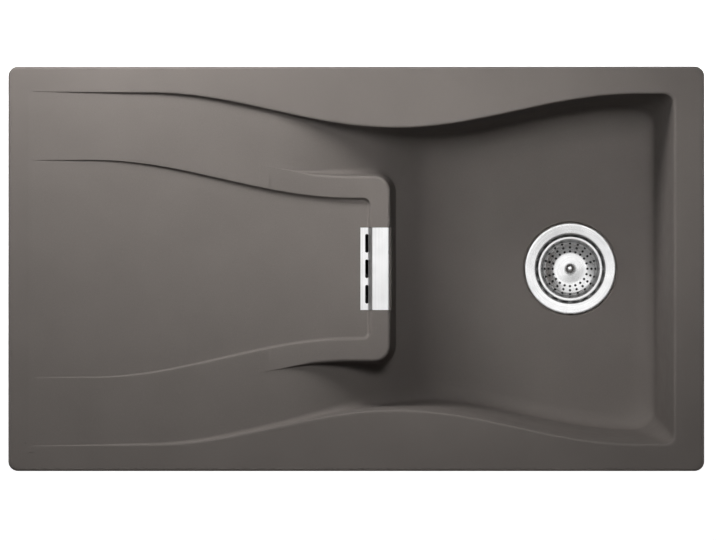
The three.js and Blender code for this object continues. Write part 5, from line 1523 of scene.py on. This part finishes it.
@dataclass
class Waste:
    """Strainer waste: pressed flange and cup, gaskets, plastic body, brass insert and bolt."""

    x: float = 267.0
    seat_z: float = -189.0
    cup_radius: float = 43.35
    cup_floor_radius: float = 38.77
    cup_depth: float = 36.0
    sheet: float = 1.2
    flange_radius: float = 57.0
    flange_under: float = -187.6
    flange_top: float = -185.6
    dish: float = 0.6
    gasket_hole: float = 47.0
    well_radius: float = 11.0
    well_depth: float = 6.0
    shank_hole: float = 6.5
    cup_holes: int = 6
    cup_hole_radius: float = 7.5
    cup_hole_circle: float = 22.5
    body_top: float = -200.6
    body_flange: float = 4.0
    body_flange_radius: float = 60.0
    body_radius: float = 46.0
    body_wall: float = 2.5
    cylinder_depth: float = 56.0
    neck_depth: float = 84.0
    neck_radius: float = 20.5
    neck_wall: float = 3.4
    neck_pitch: float = 3.0
    neck_thread: float = 1.3
    depth: float = 125.0
    hub_radius: float = 13.0
    hub_z: tuple[float, float] = (-281.0, -259.0)
    spoke_half: float = 2.0
    spoke_reach: float = 30.0
    spigot_z: float = -236.0
    spigot_bore: float = 9.0
    spigot_radius: float = 12.0
    spigot_length: float = 28.0
    insert_radius: float = 9.0
    insert_z: tuple[float, float] = (-279.0, -263.0)
    knurls: int = 36
    knurl_depth: float = 0.2
    bolt_radius: float = 6.0
    bolt_head_radius: float = 9.0
    bolt_seat_z: float = -229.4
    bolt_head: float = 3.7
    bolt_length: float = 53.0
    bolt_pitch: float = 1.75
    bolt_thread: float = 0.7
    bolt_bore: float = 3.6
    bolt_bore_depth: float = 14.0

    def flange(self) -> Mesh:
        """Pressed flange and cup with a well for the bolt and six openings."""
        floor, sheet = self.seat_z - self.cup_depth, self.sheet
        well, top, under = floor - self.well_depth, self.flange_top, self.flange_under
        hole, middle, cup, rim = self.shank_hole, self.well_radius, self.cup_floor_radius, self.flange_radius
        blank = turned([
            (hole, well, 0.2), (middle, well, 0.8), (middle, floor, 0.9), (cup, floor, 2.8),
            (self.cup_radius, top - self.dish, 1.5), (rim - 2.2, top, 2.0), (rim - 0.3, top - 0.35, 0.8),
            (rim, under, 0.5), (self.cup_radius + sheet - 0.35, under, 0.4),
            (cup + sheet, floor - sheet, 3.6), (middle + sheet, floor - sheet, 0.5),
            (middle + sheet, well - sheet, 0.9), (hole, well - sheet, 0.2),
        ], 144, 6, closed=True)
        drill = pin(self.cup_hole_radius, floor - 3 * sheet, floor + 3 * sheet, 40)
        places = round_places(self.cup_holes, self.cup_hole_circle)
        holes = gathered([drill.placed(x=x, y=y) for x, y in places]).placed(x=self.x)
        return carved("strainer_flange", blank.placed(x=self.x), [(Cut.REMOVE, holes)])

    def wall(self) -> Shell:
        """Wall of the body: flange, chamber, cone, and a neck with a raised helical thread."""
        inside, outer, top = self.body_radius, self.body_radius + self.body_wall, self.body_top
        bore, neck, low = self.neck_radius, self.neck_radius + self.neck_wall, self.seat_z - self.depth
        bend, cone = self.seat_z - self.cylinder_depth, self.seat_z - self.neck_depth
        under, rim = top - self.body_flange, self.body_flange_radius
        thread = Thread(self.neck_pitch, -self.neck_thread, low + 2.0, cone - 12.0, 8)
        shank = thread.rows(neck)[::-1]
        upper = softened([
            (inside, top, 0), (rim, top, 0.8), (rim, under, 0.8), (outer, under, 2.0), (outer, bend, 4.0),
            (neck, cone, 4.0), (neck, shank[0, 1] + 0.4, 0),
        ], 6, closed=False)
        lower = softened([
            (neck, low + 1.5, 0), (neck, low, 0.5), (bore, low, 0.5), (bore, cone - 1.25, 4.0),
            (inside, bend + 1.25, 4.0), (inside, top - 0.5, 0),
        ], 6, closed=False)

        def raised(angle: Array, radius: Array, height: Array) -> Array:
            """Thread on the neck's outside alone."""
            return thread.wave(angle, radius, height) * (radius > neck - 0.1) * (radius < neck + 0.1)

        return revolve(np.vstack([upper, shank, lower]), 128, raised)

    def body(self) -> Mesh:
        """Body with its hub on three spokes and the side spigot for the hose."""
        low, high = self.hub_z
        half_wall = self.body_wall / 2
        reach = self.spoke_reach
        spoke = softened_block(reach, self.spoke_half, low, high, 0.3, 0.5)
        spokes = [
            spoke.placed(x=reach * math.cos(angle), y=reach * math.sin(angle), turn=angle)
            for angle in (math.pi / 3, math.pi, 5 * math.pi / 3)
        ]
        wide, neck = self.body_radius + half_wall, self.neck_radius + self.neck_wall / 2
        end = self.seat_z - self.depth
        inside = revolve(np.array([
            (0, self.body_top), (wide, self.body_top),
            (wide, self.seat_z - self.cylinder_depth + half_wall / 2),
            (neck, self.seat_z - self.neck_depth - half_wall / 2), (neck, end), (0, end),
        ]), 128)
        run = self.spigot_length + self.body_wall + self.body_radius
        spigot = tube(self.spigot_bore, self.spigot_radius, -run, -self.body_radius - 1.0, 48, 0.4)
        spigot = lain_along_x(spigot, 0, self.spigot_z)
        bore = lain_along_x(pin(self.spigot_bore, -run - 5, -self.body_radius / 2, 48), 0, self.spigot_z)
        insert_hole = self.insert_radius + SEAT_GAP
        steps = [
            *[(Cut.JOIN, shape) for shape in spokes],
            (Cut.KEEP, inside), (Cut.JOIN, self.wall()), (Cut.JOIN, spigot), (Cut.REMOVE, bore),
            (Cut.REMOVE, pin(self.shank_hole, low - 3, high + 3, 48)),
            (Cut.REMOVE, pin(insert_hole, low - 3, self.insert_z[1] + SEAT_GAP, 48)),
        ]
        return moved(carved("waste_body", tube(0.5, self.hub_radius, low, high, 64, 0.3), steps), self.x)

    def insert(self) -> Shell:
        """Knurled brass insert with a threaded bore."""

        def knurl(angle: Array, radius: Array, height: Array) -> Array:
            """Upright ridges all round."""
            return -self.knurl_depth * (0.5 + 0.5 * np.cos(self.knurls * angle))

        bore = self.bolt_radius + SEAT_GAP
        shape = brass_insert(bore, self.insert_radius, self.insert_z, (0.5, 0.8), 14, 216, knurl)
        return shape.placed(x=self.x)

    def bolt(self) -> Mesh:
        """Fixing bolt: a low head with a bore for the stem, a slot and a threaded shank."""
        seat, radius, wide = self.bolt_seat_z, self.bolt_radius, self.bolt_head_radius
        low, top = seat - self.bolt_length, seat + self.bolt_head
        thread = Thread(self.bolt_pitch, self.bolt_thread, low + 1.0, self.insert_z[1] + 6.0, 8)
        head = softened([
            (radius, self.insert_z[1] + 7.0, 0), (radius, seat, 0.3), (wide, seat, 0.4),
            (wide, top - 0.4, 0.9), (wide - 1.0, top, 0.6), (0, top, 0),
        ], 4, closed=False)
        profile = np.vstack([[(0.0, low), (radius - 0.8, low)], thread.rows(radius), head])
        bore = pin(self.bolt_bore, seat - self.bolt_bore_depth, top + 2, 40)
        slot = softened_block(wide + 2, 1.0, top - 1.3, top + 2, 0.1, 0.1)
        steps = [(Cut.REMOVE, bore), (Cut.REMOVE, slot)]
        return moved(carved("fixing_bolt", revolve(profile, 64, thread.wave), steps), self.x)

    def dress(self, dresser: Dresser) -> None:
        """Shows every piece of the waste.

        Args:
            dresser: Shows the pieces and keeps them.
        """
        hole, low, high = self.gasket_hole, self.seat_z + SEAT_GAP, self.flange_under - SEAT_GAP
        flange_gasket = tube(hole, self.flange_radius - 1, low, high, 96, 0.25)
        low = self.body_top + SEAT_GAP
        body_gasket = tube(hole, self.body_flange_radius - 1, low, low + 3.0, 96, 0.6)
        washer_z = self.seat_z - self.cup_depth - self.well_depth + SEAT_GAP
        washer = tube(self.shank_hole, self.well_radius - SEAT_GAP, washer_z, washer_z + 1.0, 64)
        dresser.show("strainer_flange", self.flange(), "spun_steel", slot="polished_steel")
        dresser.show("flange_gasket", flange_gasket.placed(x=self.x), "rubber")
        dresser.show("body_gasket", body_gasket.placed(x=self.x), "rubber")
        dresser.show("waste_body", self.body(), "white_plastic")
        dresser.show("waste_insert", self.insert(), "brass")
        dresser.show("fixing_bolt", self.bolt(), "polished_steel")
        dresser.show("bolt_washer", washer.placed(x=self.x), "polished_steel")


@dataclass
class Basket:
    """Strainer basket: perforated pressing, knob, stem, stopper with its washer, and the catch."""

    x: float = 267.0
    seat_z: float = -189.0
    radius: float = 37.0
    bead_width: float = 3.4
    bead_top: float = 4.0
    bead_height: float = 2.5
    sheet: float = 0.9
    depth: float = 28.0
    centre_radius: float = 20.3
    cone_radius: float = 31.0
    cone_rise: float = 4.5
    cone_bend: float = 1.5
    crown: float = 1.5
    foot: float = 3.0
    hole_circles: tuple[float, ...] = (21.7, 26.8, 31.9)
    holes_per_circle: int = 20
    hole_radius: float = 1.5
    knob_radius: float = 7.4
    knob_depth: float = 13.0
    knob_neck: float = 4.0
    stem_radius: float = 2.3
    stem_top: float = -203.5
    stem_bottom: float = -239.0
    stopper_radius: float = 33.0
    stopper_z: tuple[float, float] = (-224.7, -221.9)
    washer_radius: float = 6.0
    catch_wall: float = 0.7
    catch_z: tuple[float, float] = (-234.5, -226.5)

    def floor(self, radius: Values) -> Values:
        """Height of the floor's upper face: a crown of half a wave, then a cone that begins over a bend.

        Args:
            radius: Distance from the basket's axis.

        Returns:
            The heights.
        """
        past = radius - self.centre_radius
        ramp = 0.5 * (past + np.hypot(past, self.cone_bend)) / (self.cone_radius - self.centre_radius)
        crown = self.crown * swell(radius / self.cone_radius)
        return self.seat_z - self.depth + crown + self.cone_rise * ramp

    def pressing(self) -> Mesh:
        """Basket with a rolled bead and three circles of holes."""
        radius, cone, sheet = self.radius, self.cone_radius, self.sheet
        span = np.linspace(self.stem_radius + SEAT_GAP, cone - 2.5, 26)
        level = self.floor(span)
        flat, start, last = float(self.floor(cone)), level[-1], span[-1]
        foot, foot_z = radius - self.foot, flat + self.foot
        bead, outer = self.seat_z - self.bead_top, radius + self.bead_width
        under, top = bead - self.bead_height, bead + 0.1
        upper = softened([
            (last, start, 0), (cone, flat, 1.8), (foot, foot_z, 2.8), (radius - sheet, under, 0.6),
            (radius - 0.6, top, 1.2), (outer, top, 1.3), (outer, under, 0.8), (radius, under, 0.3),
            (foot + sheet, foot_z - sheet / 2, 3.2), (cone + 0.3, flat - sheet, 2.0),
            (last, start - sheet, 0),
        ], 5, closed=False)
        inside, outside = np.column_stack([span, level]), np.column_stack([span, level - sheet])
        profile = np.vstack([inside[:-1], upper, outside[-2::-1]])
        hole = pin(self.hole_radius, flat - 9, flat + 6, 16)
        holes = [
            hole.placed(x=self.x + x, y=y)
            for circle in self.hole_circles for x, y in round_places(self.holes_per_circle, circle)
        ]
        return carved("basket", revolve(profile, 160).placed(x=self.x), [(Cut.REMOVE, gathered(holes))])

    def knob(self) -> Mesh:
        """Ball knob on a short foot, bored for the stem."""
        centre, neck = self.seat_z - self.knob_depth, self.knob_neck
        low = float(self.floor(0.0)) + SEAT_GAP
        foot = softened([
            (0, low, 0), (neck + 1, low, 0.3), (neck + 1, low + 1, 0.4), (neck, low + 2, 0.6),
            (neck - 0.1, low + 5, 0),
        ], 4, closed=False)
        angle = np.linspace(math.asin(neck / self.knob_radius), np.pi, 28)
        ball = np.column_stack([self.knob_radius * np.sin(angle), centre - self.knob_radius * np.cos(angle)])
        ball[-1, 0] = 0.0
        bore = pin(self.stem_radius + SEAT_GAP, low - 2, self.stem_top + SEAT_GAP, 32)
        shape = revolve(np.vstack([foot, ball]), 64)
        return moved(carved("basket_knob", shape, [(Cut.REMOVE, bore)]), self.x)

    def stem(self) -> Shell:
        """Stem with a rounded tip and a groove for the catch."""
        radius, low, top = self.stem_radius, self.stem_bottom, self.stem_top
        return turned([
            (0, low, 0), (radius, low, 1.0), (radius, low + 2.6, 0.3), (radius - 0.4, low + 3.2, 0.3),
            (radius - 0.4, low + 4.6, 0.3), (radius, low + 5.2, 0.3), (radius, top, 0.3), (0, top, 0),
        ], 40).placed(x=self.x)

    def stopper(self) -> Shell:
        """Soft stopper disc with a thin edge."""
        low, high = self.stopper_z
        hole, edge = self.stem_radius + SEAT_GAP, self.stopper_radius
        return turned([
            (hole, low, 0.2), (edge - 1, low, 0.5), (edge, low + 1, 0.5), (edge - 1, high - 0.5, 0.6),
            (self.washer_radius + 1, high, 1.5), (hole, high, 0.2),
        ], 96, closed=True).placed(x=self.x)

    def dress(self, dresser: Dresser) -> None:
        """Shows every piece of the basket.

        Args:
            dresser: Shows the pieces and keeps them.
        """
        body, hole = "strainer_basket", self.stem_radius + SEAT_GAP
        washer_top = float(self.floor(self.washer_radius)) - self.sheet - SEAT_GAP
        washer = tube(hole, self.washer_radius, self.stopper_z[1] + SEAT_GAP, washer_top, 48, 0.4)
        catch = tube(hole, hole + self.catch_wall, *self.catch_z, 32, 0.15)
        dresser.show("basket", self.pressing(), "spun_steel", body, "polished_steel")
        dresser.show("basket_knob", self.knob(), "polished_steel", body)
        dresser.show("basket_stem", self.stem(), "polished_steel", body)
        dresser.show("stopper_seal", self.stopper(), "rubber", body)
        dresser.show("stopper_washer", washer.placed(x=self.x), "white_plastic", body)
        dresser.show("catch_sleeve", catch.placed(x=self.x), "white_plastic", "strainer_sleeve")


@dataclass
class Clamps:
    """Eight swinging worktop clamps, each with its screw and brass insert."""

    places: list[Triple]
    base_z: float = -57.5
    plate: float = 2.5
    arm: float = 28.0
    half_width: float = 7.0
    tooth: float = 7.5
    teeth: tuple[float, ...] = (-3.5, 0.0, 3.5)
    screw: PanScrew = PanScrew(2.4, 4.6, 3.5, 43.3, 1.0)
    insert_radius: float = 4.6
    insert_z: tuple[float, float] = (-24.0, -12.0)
    barb_pitch: float = 3.0
    barb_depth: float = 0.35

    def bracket(self) -> Mesh:
        """Bent plate with a round pivot end, a hole and a toothed tip."""
        half, base, plate = self.half_width, self.base_z, self.plate
        top, bend_x = base + self.tooth, self.arm - plate
        section = hollow_line([(-half, base, 0), (bend_x, base, 1.6), (bend_x, top, 0)], plate)
        turn = np.linspace(np.pi / 2, 3 * np.pi / 2, 33)
        end = np.column_stack([half * np.cos(turn), half * np.sin(turn)])
        plan = np.vstack([[(self.arm + 3, -half), (self.arm + 3, half)], end])
        low, high = base - 2 * plate, top + plate
        outline = stacked([(plan, low), (plan, high)])
        hole = pin(self.screw.radius + BORE_GAP, low, base + plate, 40)
        notch = np.array([(-0.15, top - 1.9), (0.15, top - 1.9), (1.5, top + 1), (-1.5, top + 1)])
        notches = [along_x(notch + np.array([y, 0.0]), bend_x - 2, self.arm + 2) for y in self.teeth]
        steps = [(Cut.KEEP, outline), (Cut.REMOVE, hole), (Cut.REMOVE, gathered(notches))]
        return carved("clamp", run_across(section, 2 * half + 4), steps)

    def insert(self) -> Mesh:
        """Ribbed brass insert."""

        def barbs(angle: Array, radius: Array, height: Array) -> Array:
            """Level ribs one above the other."""
            return -self.barb_depth * swell((height - self.insert_z[0]) % self.barb_pitch - 1.5)

        bore = self.screw.radius + SEAT_GAP
        shape = brass_insert(bore, self.insert_radius, self.insert_z, (0.4, 0.6), 49, 40, barbs)
        return mesh_of("clamp_insert", shape)

    def dress(self, dresser: Dresser) -> None:
        """Shows every clamp in its place, stowed along the rim.

        Args:
            dresser: Shows the pieces and keeps them.
        """
        bracket, insert = self.bracket(), self.insert()
        screw = moved(self.screw.mesh("clamp_screw"), z=self.base_z - self.plate - SEAT_GAP)
        for number, (x, y, turn) in enumerate(self.places, start=1):
            sets = (
                (f"clamp_{number}", bracket, "zinced_steel", f"clamp_body_{number}", Bevel(0.22)),
                (f"clamp_screw_{number}", screw, "zinced_steel", f"clamp_screw_body_{number}", None),
                (f"clamp_insert_{number}", insert, "brass", "sink", None),
            )
            for node, base, finish, body, bevel in sets:
                dresser.show(node, moved(base, x, y, turn=turn), finish, body, bevel=bevel)


# ---- finishes


class Graph:
    """Node tree under construction."""

    def __init__(self, tree: bpy.types.NodeTree) -> None:
        """Keeps the tree and empties it."""
        self.tree = tree
        tree.nodes.clear()

    def add(self, kind: str, values: dict | None = None, **settings: object) -> bpy.types.Node:
        """Adds a node.

        Args:
            kind: Node type.
            values: Numbers for its inputs, or the sockets that feed them.
            settings: Its own fields.

        Returns:
            The node.
        """
        node = self.tree.nodes.new(kind)
        for key, value in settings.items():
            setattr(node, key, value)
        for key, value in (values or {}).items():
            if isinstance(value, bpy.types.NodeSocket):
                self.tree.links.new(value, node.inputs[key])
            else:
                node.inputs[key].default_value = value
        return node

    def math(self, operation: str, first: object, second: object = 0.0) -> bpy.types.NodeSocket:
        """Result of one sum."""
        return self.add("ShaderNodeMath", {0: first, 1: second}, operation=operation).outputs[0]

    def noise(self, place: bpy.types.NodeSocket, scale: float, detail: float) -> bpy.types.NodeSocket:
        """Noise from 0 to 1, centred on a half."""
        values = {"Vector": place, "Scale": scale, "Detail": detail}
        return self.add("ShaderNodeTexNoise", values).outputs["Fac"]


class Effect(Enum):
    """Pattern that varies a finish."""

    GRAIN = "mineral grain"
    BRUSH = "straight brushing"
    SPIN = "turned brushing"
    CAST = "fine moulded skin"


def node_group(name: str, *outputs: str) -> tuple[Graph, bpy.types.NodeSocket]:
    """Begins a node group whose one input is a place.

    Args:
        name: Name of the group.
        outputs: Names of its outputs.

    Returns:
        Its graph, and the socket that gives the place.
    """
    tree = bpy.data.node_groups.new(name, "ShaderNodeTree")
    tree.interface.new_socket("Place", in_out="INPUT", socket_type="NodeSocketVector")
    for output in outputs:
        tree.interface.new_socket(output, in_out="OUTPUT", socket_type="NodeSocketFloat")
    graph = Graph(tree)
    return graph, graph.add("NodeGroupInput").outputs["Place"]


def effect_group(effect: Effect) -> bpy.types.NodeTree:
    """Node group of a pattern: from a place, a tone from 0 to 1 and a height from 0 to 1.

    Args:
        effect: Pattern that the group makes.

    Returns:
        The node group.
    """
    graph, place = node_group(effect.value, "Tone", "Height")
    if effect is Effect.SPIN:
        x, y, z = graph.add("ShaderNodeSeparateXYZ", {0: place}).outputs
        square = graph.math("ADD", graph.math("MULTIPLY", x, x), graph.math("MULTIPLY", y, y))
        radius = graph.math("SQRT", square)
        angle = graph.math("MULTIPLY", graph.math("ARCTAN2", y, x), 0.0012)
        place = graph.add("ShaderNodeCombineXYZ", {0: radius, 1: angle, 2: z}).outputs[0]
    if effect is Effect.GRAIN:
        fine, broad = graph.noise(place, 1500.0, 3.0), graph.noise(place, 14.0, 2.0)
        cells = graph.add("ShaderNodeTexVoronoi", {"Vector": place, "Scale": 620.0})
        fleck = graph.math("MULTIPLY", graph.math("LESS_THAN", cells.outputs["Distance"], 0.2), 0.16)
        tone = graph.math("ADD", graph.math("MULTIPLY", fine, 0.7), graph.math("MULTIPLY", broad, 0.3))
        tone = graph.math("ADD", tone, fleck)
        height = fine
    elif effect is Effect.CAST:
        tone, height = graph.noise(place, 60.0, 3.0), graph.noise(place, 2600.0, 1.0)
    else:
        scales = (4200.0, 900.0) if effect is Effect.SPIN else (1.0, 0.2)
        height, broad = graph.noise(place, scales[0], 2.0), graph.noise(place, scales[1], 1.0)
        tone = graph.math("MULTIPLY_ADD", graph.math("SUBTRACT", height, broad), 0.7)
        tone.node.inputs[2].default_value = 0.5
    graph.add("NodeGroupOutput", {"Tone": tone, "Height": height})
    return graph.tree


def handling_group() -> bpy.types.NodeTree:
    """Node group of soft smudges: from a place, a mask from 0 to 1."""
    graph, place = node_group("handling", "Mask")
    mask = graph.math("MULTIPLY", graph.noise(place, 11.0, 4.0), graph.noise(place, 70.0, 2.0))
    spread = graph.add("ShaderNodeMapRange", {"Value": mask, "From Min": 0.12, "From Max": 0.42})
    graph.add("NodeGroupOutput", {"Mask": spread.outputs[0]})
    return graph.tree


@dataclass(frozen=True)
class Finish:
    """Material with two tones, a band of roughness, a pattern and its relief."""

    dark: Triple
    light: Triple
    smooth: float
    rough: float
    effect: Effect
    relief: float
    metal: float = 0.0
    shine: float = 0.5
    stretch: Triple = (1.0, 1.0, 1.0)
    centre: Triple = (0.0, 0.0, 0.0)

    def material(self, name: str, groups: dict[str, bpy.types.NodeTree]) -> bpy.types.Material:
        """Builds the material.

        Args:
            name: Name of the material.
            groups: Node groups of the effects and of handling.

        Returns:
            The material.
        """
        material = bpy.data.materials.new(name)
        material.use_nodes = True
        graph = Graph(material.node_tree)
        place = graph.add("ShaderNodeTexCoord").outputs["Object"]
        shift = tuple(-c * s for c, s in zip(self.centre, self.stretch))
        values = {"Vector": place, "Location": shift, "Scale": self.stretch}
        mapped = graph.add("ShaderNodeMapping", values).outputs[0]
        pattern = graph.add("ShaderNodeGroup", node_tree=groups[self.effect.value])
        graph.tree.links.new(mapped, pattern.inputs[0])
        tone, height = pattern.outputs
        smudge = graph.add("ShaderNodeGroup", node_tree=groups["handling"])
        graph.tree.links.new(place, smudge.inputs[0])
        tone = graph.add("ShaderNodeMapRange", {"Value": tone, "From Min": 0.25, "From Max": 0.75})
        tones = {0: tone.outputs[0], 6: (*self.dark, 1.0), 7: (*self.light, 1.0)}
        colour = graph.add("ShaderNodeMix", tones, data_type="RGBA")
        rough = graph.add("ShaderNodeMapRange", {
            "Value": graph.math("ADD", smudge.outputs["Mask"], height), "From Min": 0.2, "From Max": 1.6,
            "To Min": self.smooth, "To Max": self.rough,
        })
        bump = graph.add("ShaderNodeBump", {"Height": height, "Distance": self.relief * MM})
        shader = graph.add("ShaderNodeBsdfPrincipled", {
            "Base Color": colour.outputs[2], "Roughness": rough.outputs[0], "Metallic": self.metal,
            "Specular IOR Level": self.shine, "Normal": bump.outputs[0],
        })
        graph.add("ShaderNodeOutputMaterial", {"Surface": shader.outputs[0]})
        return material


FINISHES = {
    "composite": Finish(
        (0.118, 0.1055, 0.0975), (0.158, 0.1415, 0.131), 0.66, 0.9, Effect.GRAIN, 0.012, shine=0.12
    ),
    "satin_steel": Finish(
        (0.80, 0.80, 0.80), (0.94, 0.94, 0.94), 0.24, 0.42, Effect.BRUSH, 0.004, 1.0,
        stretch=(2600.0, 18.0, 2600.0),
    ),
    "spun_steel": Finish(
        (0.74, 0.74, 0.74), (0.93, 0.93, 0.93), 0.18, 0.36, Effect.SPIN, 0.003, 1.0, centre=(0.267, 0.0, 0.0)
    ),
    "polished_steel": Finish((0.78, 0.78, 0.78), (0.84, 0.84, 0.84), 0.07, 0.2, Effect.CAST, 0.0006, 1.0),
    "zinced_steel": Finish((0.50, 0.51, 0.50), (0.66, 0.68, 0.70), 0.28, 0.5, Effect.CAST, 0.004, 1.0),
    "brass": Finish((0.50, 0.33, 0.12), (0.66, 0.46, 0.19), 0.2, 0.42, Effect.CAST, 0.003, 1.0),
    "rubber": Finish((0.012, 0.012, 0.012), (0.024, 0.024, 0.024), 0.6, 0.85, Effect.CAST, 0.01),
    "white_plastic": Finish((0.66, 0.66, 0.64), (0.76, 0.76, 0.74), 0.34, 0.52, Effect.CAST, 0.006),
    "black_plastic": Finish((0.016, 0.016, 0.017), (0.028, 0.028, 0.03), 0.36, 0.55, Effect.CAST, 0.006),
    "grey_plastic": Finish((0.22, 0.23, 0.24), (0.29, 0.30, 0.31), 0.36, 0.55, Effect.CAST, 0.006),
}


def finishes() -> dict[str, bpy.types.Material]:
    """Every finish as a material, by name."""
    groups = {effect.value: effect_group(effect) for effect in Effect}
    groups["handling"] = handling_group()
    return {name: finish.material(name, groups) for name, finish in FINISHES.items()}


# ---- stage


@dataclass(frozen=True)
class Lamp:
    """Square soft light that faces a point of the sink."""

    name: str
    place: Triple
    size: float
    power: float
    aim: Triple = (0.0, 0.0, 0.0)
    spread: float = 180.0
    lights: bool = True
    mirrored: bool = True

    def light(self) -> None:
        """Hangs the light."""
        data = bpy.data.lights.new(self.name, "AREA")
        data.size, data.energy, data.spread = self.size, self.power, math.radians(self.spread)
        lamp = bpy.data.objects.new(self.name, data)
        lamp.location = self.place
        lamp.rotation_euler = (Vector(self.aim) - lamp.location).to_track_quat("-Z", "Y").to_euler()
        lamp.visible_camera, lamp.visible_diffuse, lamp.visible_glossy = False, self.lights, self.mirrored
        bpy.context.scene.collection.objects.link(lamp)


@dataclass
class Stage:
    """White floor, surroundings, soft lights and the camera straight above."""

    floor_z: float = -0.33
    floor_half: float = 60.0
    floor_glow: float = 0.96
    floor_white: float = 0.86
    surroundings: float = 0.0
    walls: float = 0.2
    frame_width: float = 0.8847
    camera_height: float = 20.0
    camera_shift: tuple[float, float] = (0.0021, -0.0015)
    rim_z: float = 0.010
    sensor: float = 36.0
    lamps: tuple[Lamp, ...] = (
        Lamp("key", (-0.3, 0.6, 0.4), 0.3, 6.95, aim=(-0.25, 0.0, 0.0), mirrored=False),
        Lamp("top", (0.15, 0.6, 2.0), 0.4, 17.0, mirrored=False),
        Lamp("bowl", (0.15, 0.2, 1.2), 0.3, 0.24, aim=(0.21, 0.11, -0.2), spread=29.0, mirrored=False),
        Lamp("side", (-0.5, 0.0, 0.25), 0.2, 0.07, aim=(0.38, 0.0, -0.09), spread=40.0, mirrored=False),
        Lamp("ceiling", (-0.25, 1.3, 3.2), 4.2, 58.0, aim=(0.27, 0.0, -0.2), lights=False),
    )
    low_lamps: tuple[tuple[str, float, float, float], ...] = (
        ("front", 0.0, -1.6, 7.0), ("back", 0.0, 1.6, 7.0),
        ("left", -1.8, 0.0, 8.0), ("right", 1.8, 0.0, 8.0),
    )
    low_z: float = -0.17

    def floor(self) -> None:
        """Lays the floor, which glows where it is seen or mirrored and is clear from below."""
        half = self.floor_half
        corners = [(x * half, y * half, self.floor_z) for x, y in ((-1, -1), (1, -1), (1, 1), (-1, 1))]
        mesh = bpy.data.meshes.new("floor")
        mesh.from_pydata(corners, [], [(0, 1, 2, 3)])
        material = bpy.data.materials.new("floor")
        material.use_nodes = True
        graph = Graph(material.node_tree)
        white = self.floor_white
        paper = graph.add("ShaderNodeBsdfDiffuse", {"Color": (white, white, white, 1.0)})
        path = graph.add("ShaderNodeLightPath")
        seen = graph.math("MAXIMUM", path.outputs["Is Camera Ray"], path.outputs["Is Glossy Ray"])
        glow = graph.add("ShaderNodeEmission", {"Strength": graph.math("MULTIPLY", seen, self.floor_glow)})
        both = graph.add("ShaderNodeAddShader", {0: paper.outputs[0], 1: glow.outputs[0]})
        clear = graph.add("ShaderNodeBsdfTransparent")
        behind = graph.add("ShaderNodeNewGeometry").outputs["Backfacing"]
        mixed = graph.add("ShaderNodeMixShader", {0: behind, 1: both.outputs[0], 2: clear.outputs[0]})
        graph.add("ShaderNodeOutputMaterial", {"Surface": mixed.outputs[0]})
        mesh.materials.append(material)
        floor = bpy.data.objects.new("floor", mesh)
        bpy.context.scene.collection.objects.link(floor)

    def world(self) -> None:
        """White where it is seen, dim where it is mirrored, and no source of light."""
        world = bpy.data.worlds.new("surroundings")
        world.use_nodes = True
        graph = Graph(world.node_tree)
        path = graph.add("ShaderNodeLightPath")
        bright, dim, walls = (
            graph.add("ShaderNodeBackground", {"Color": (1, 1, 1, 1), "Strength": strength}).outputs[0]
            for strength in (1.0, self.surroundings, self.walls)
        )
        mixed = bright
        for kind, other in (("Is Diffuse Ray", dim), ("Is Glossy Ray", walls)):
            values = {0: path.outputs[kind], 1: mixed, 2: other}
            mixed = graph.add("ShaderNodeMixShader", values).outputs[0]
        graph.add("ShaderNodeOutputWorld", {"Surface": mixed})
        bpy.context.scene.world = world

    def camera(self) -> None:
        """Hangs the camera over the sink, looking straight down with +Y up the picture."""
        data = bpy.data.cameras.new("camera")
        data.sensor_width = self.sensor
        data.lens = self.sensor * (self.camera_height - self.rim_z) / self.frame_width
        data.clip_start, data.clip_end = 0.1, 200.0
        camera = bpy.data.objects.new("camera", data)
        camera.location = (*self.camera_shift, self.camera_height)
        bpy.context.scene.collection.objects.link(camera)
        bpy.context.scene.camera = camera

    def build(self) -> None:
        """Sets everything up."""
        self.floor()
        self.world()
        self.camera()
        for lamp in self.lamps:
            lamp.light()
        for side, x, y, power in self.low_lamps:
            aim = (0.0, 0.0, self.low_z)
            Lamp(f"low_{side}", (x, y, self.low_z), 0.3, power, aim, mirrored=False).light()
        bpy.context.scene.view_settings.view_transform = "Standard"


def main() -> None:
    """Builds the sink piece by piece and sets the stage."""
    logging.basicConfig(level=logging.INFO, format="%(name)s: %(message)s")
    dresser = Dresser(finishes())
    moulding = Moulding()
    dresser.show("sink_moulding", moulding.mesh(), "composite")
    for part in (RimSeal(), Overflow(moulding), Waste(), Basket(), Clamps(moulding.clamp_places())):
        part.dress(dresser)
    Stage().build()
    log.info("%d pieces", len(dresser.shown))


if __name__ == "__main__":
    main()
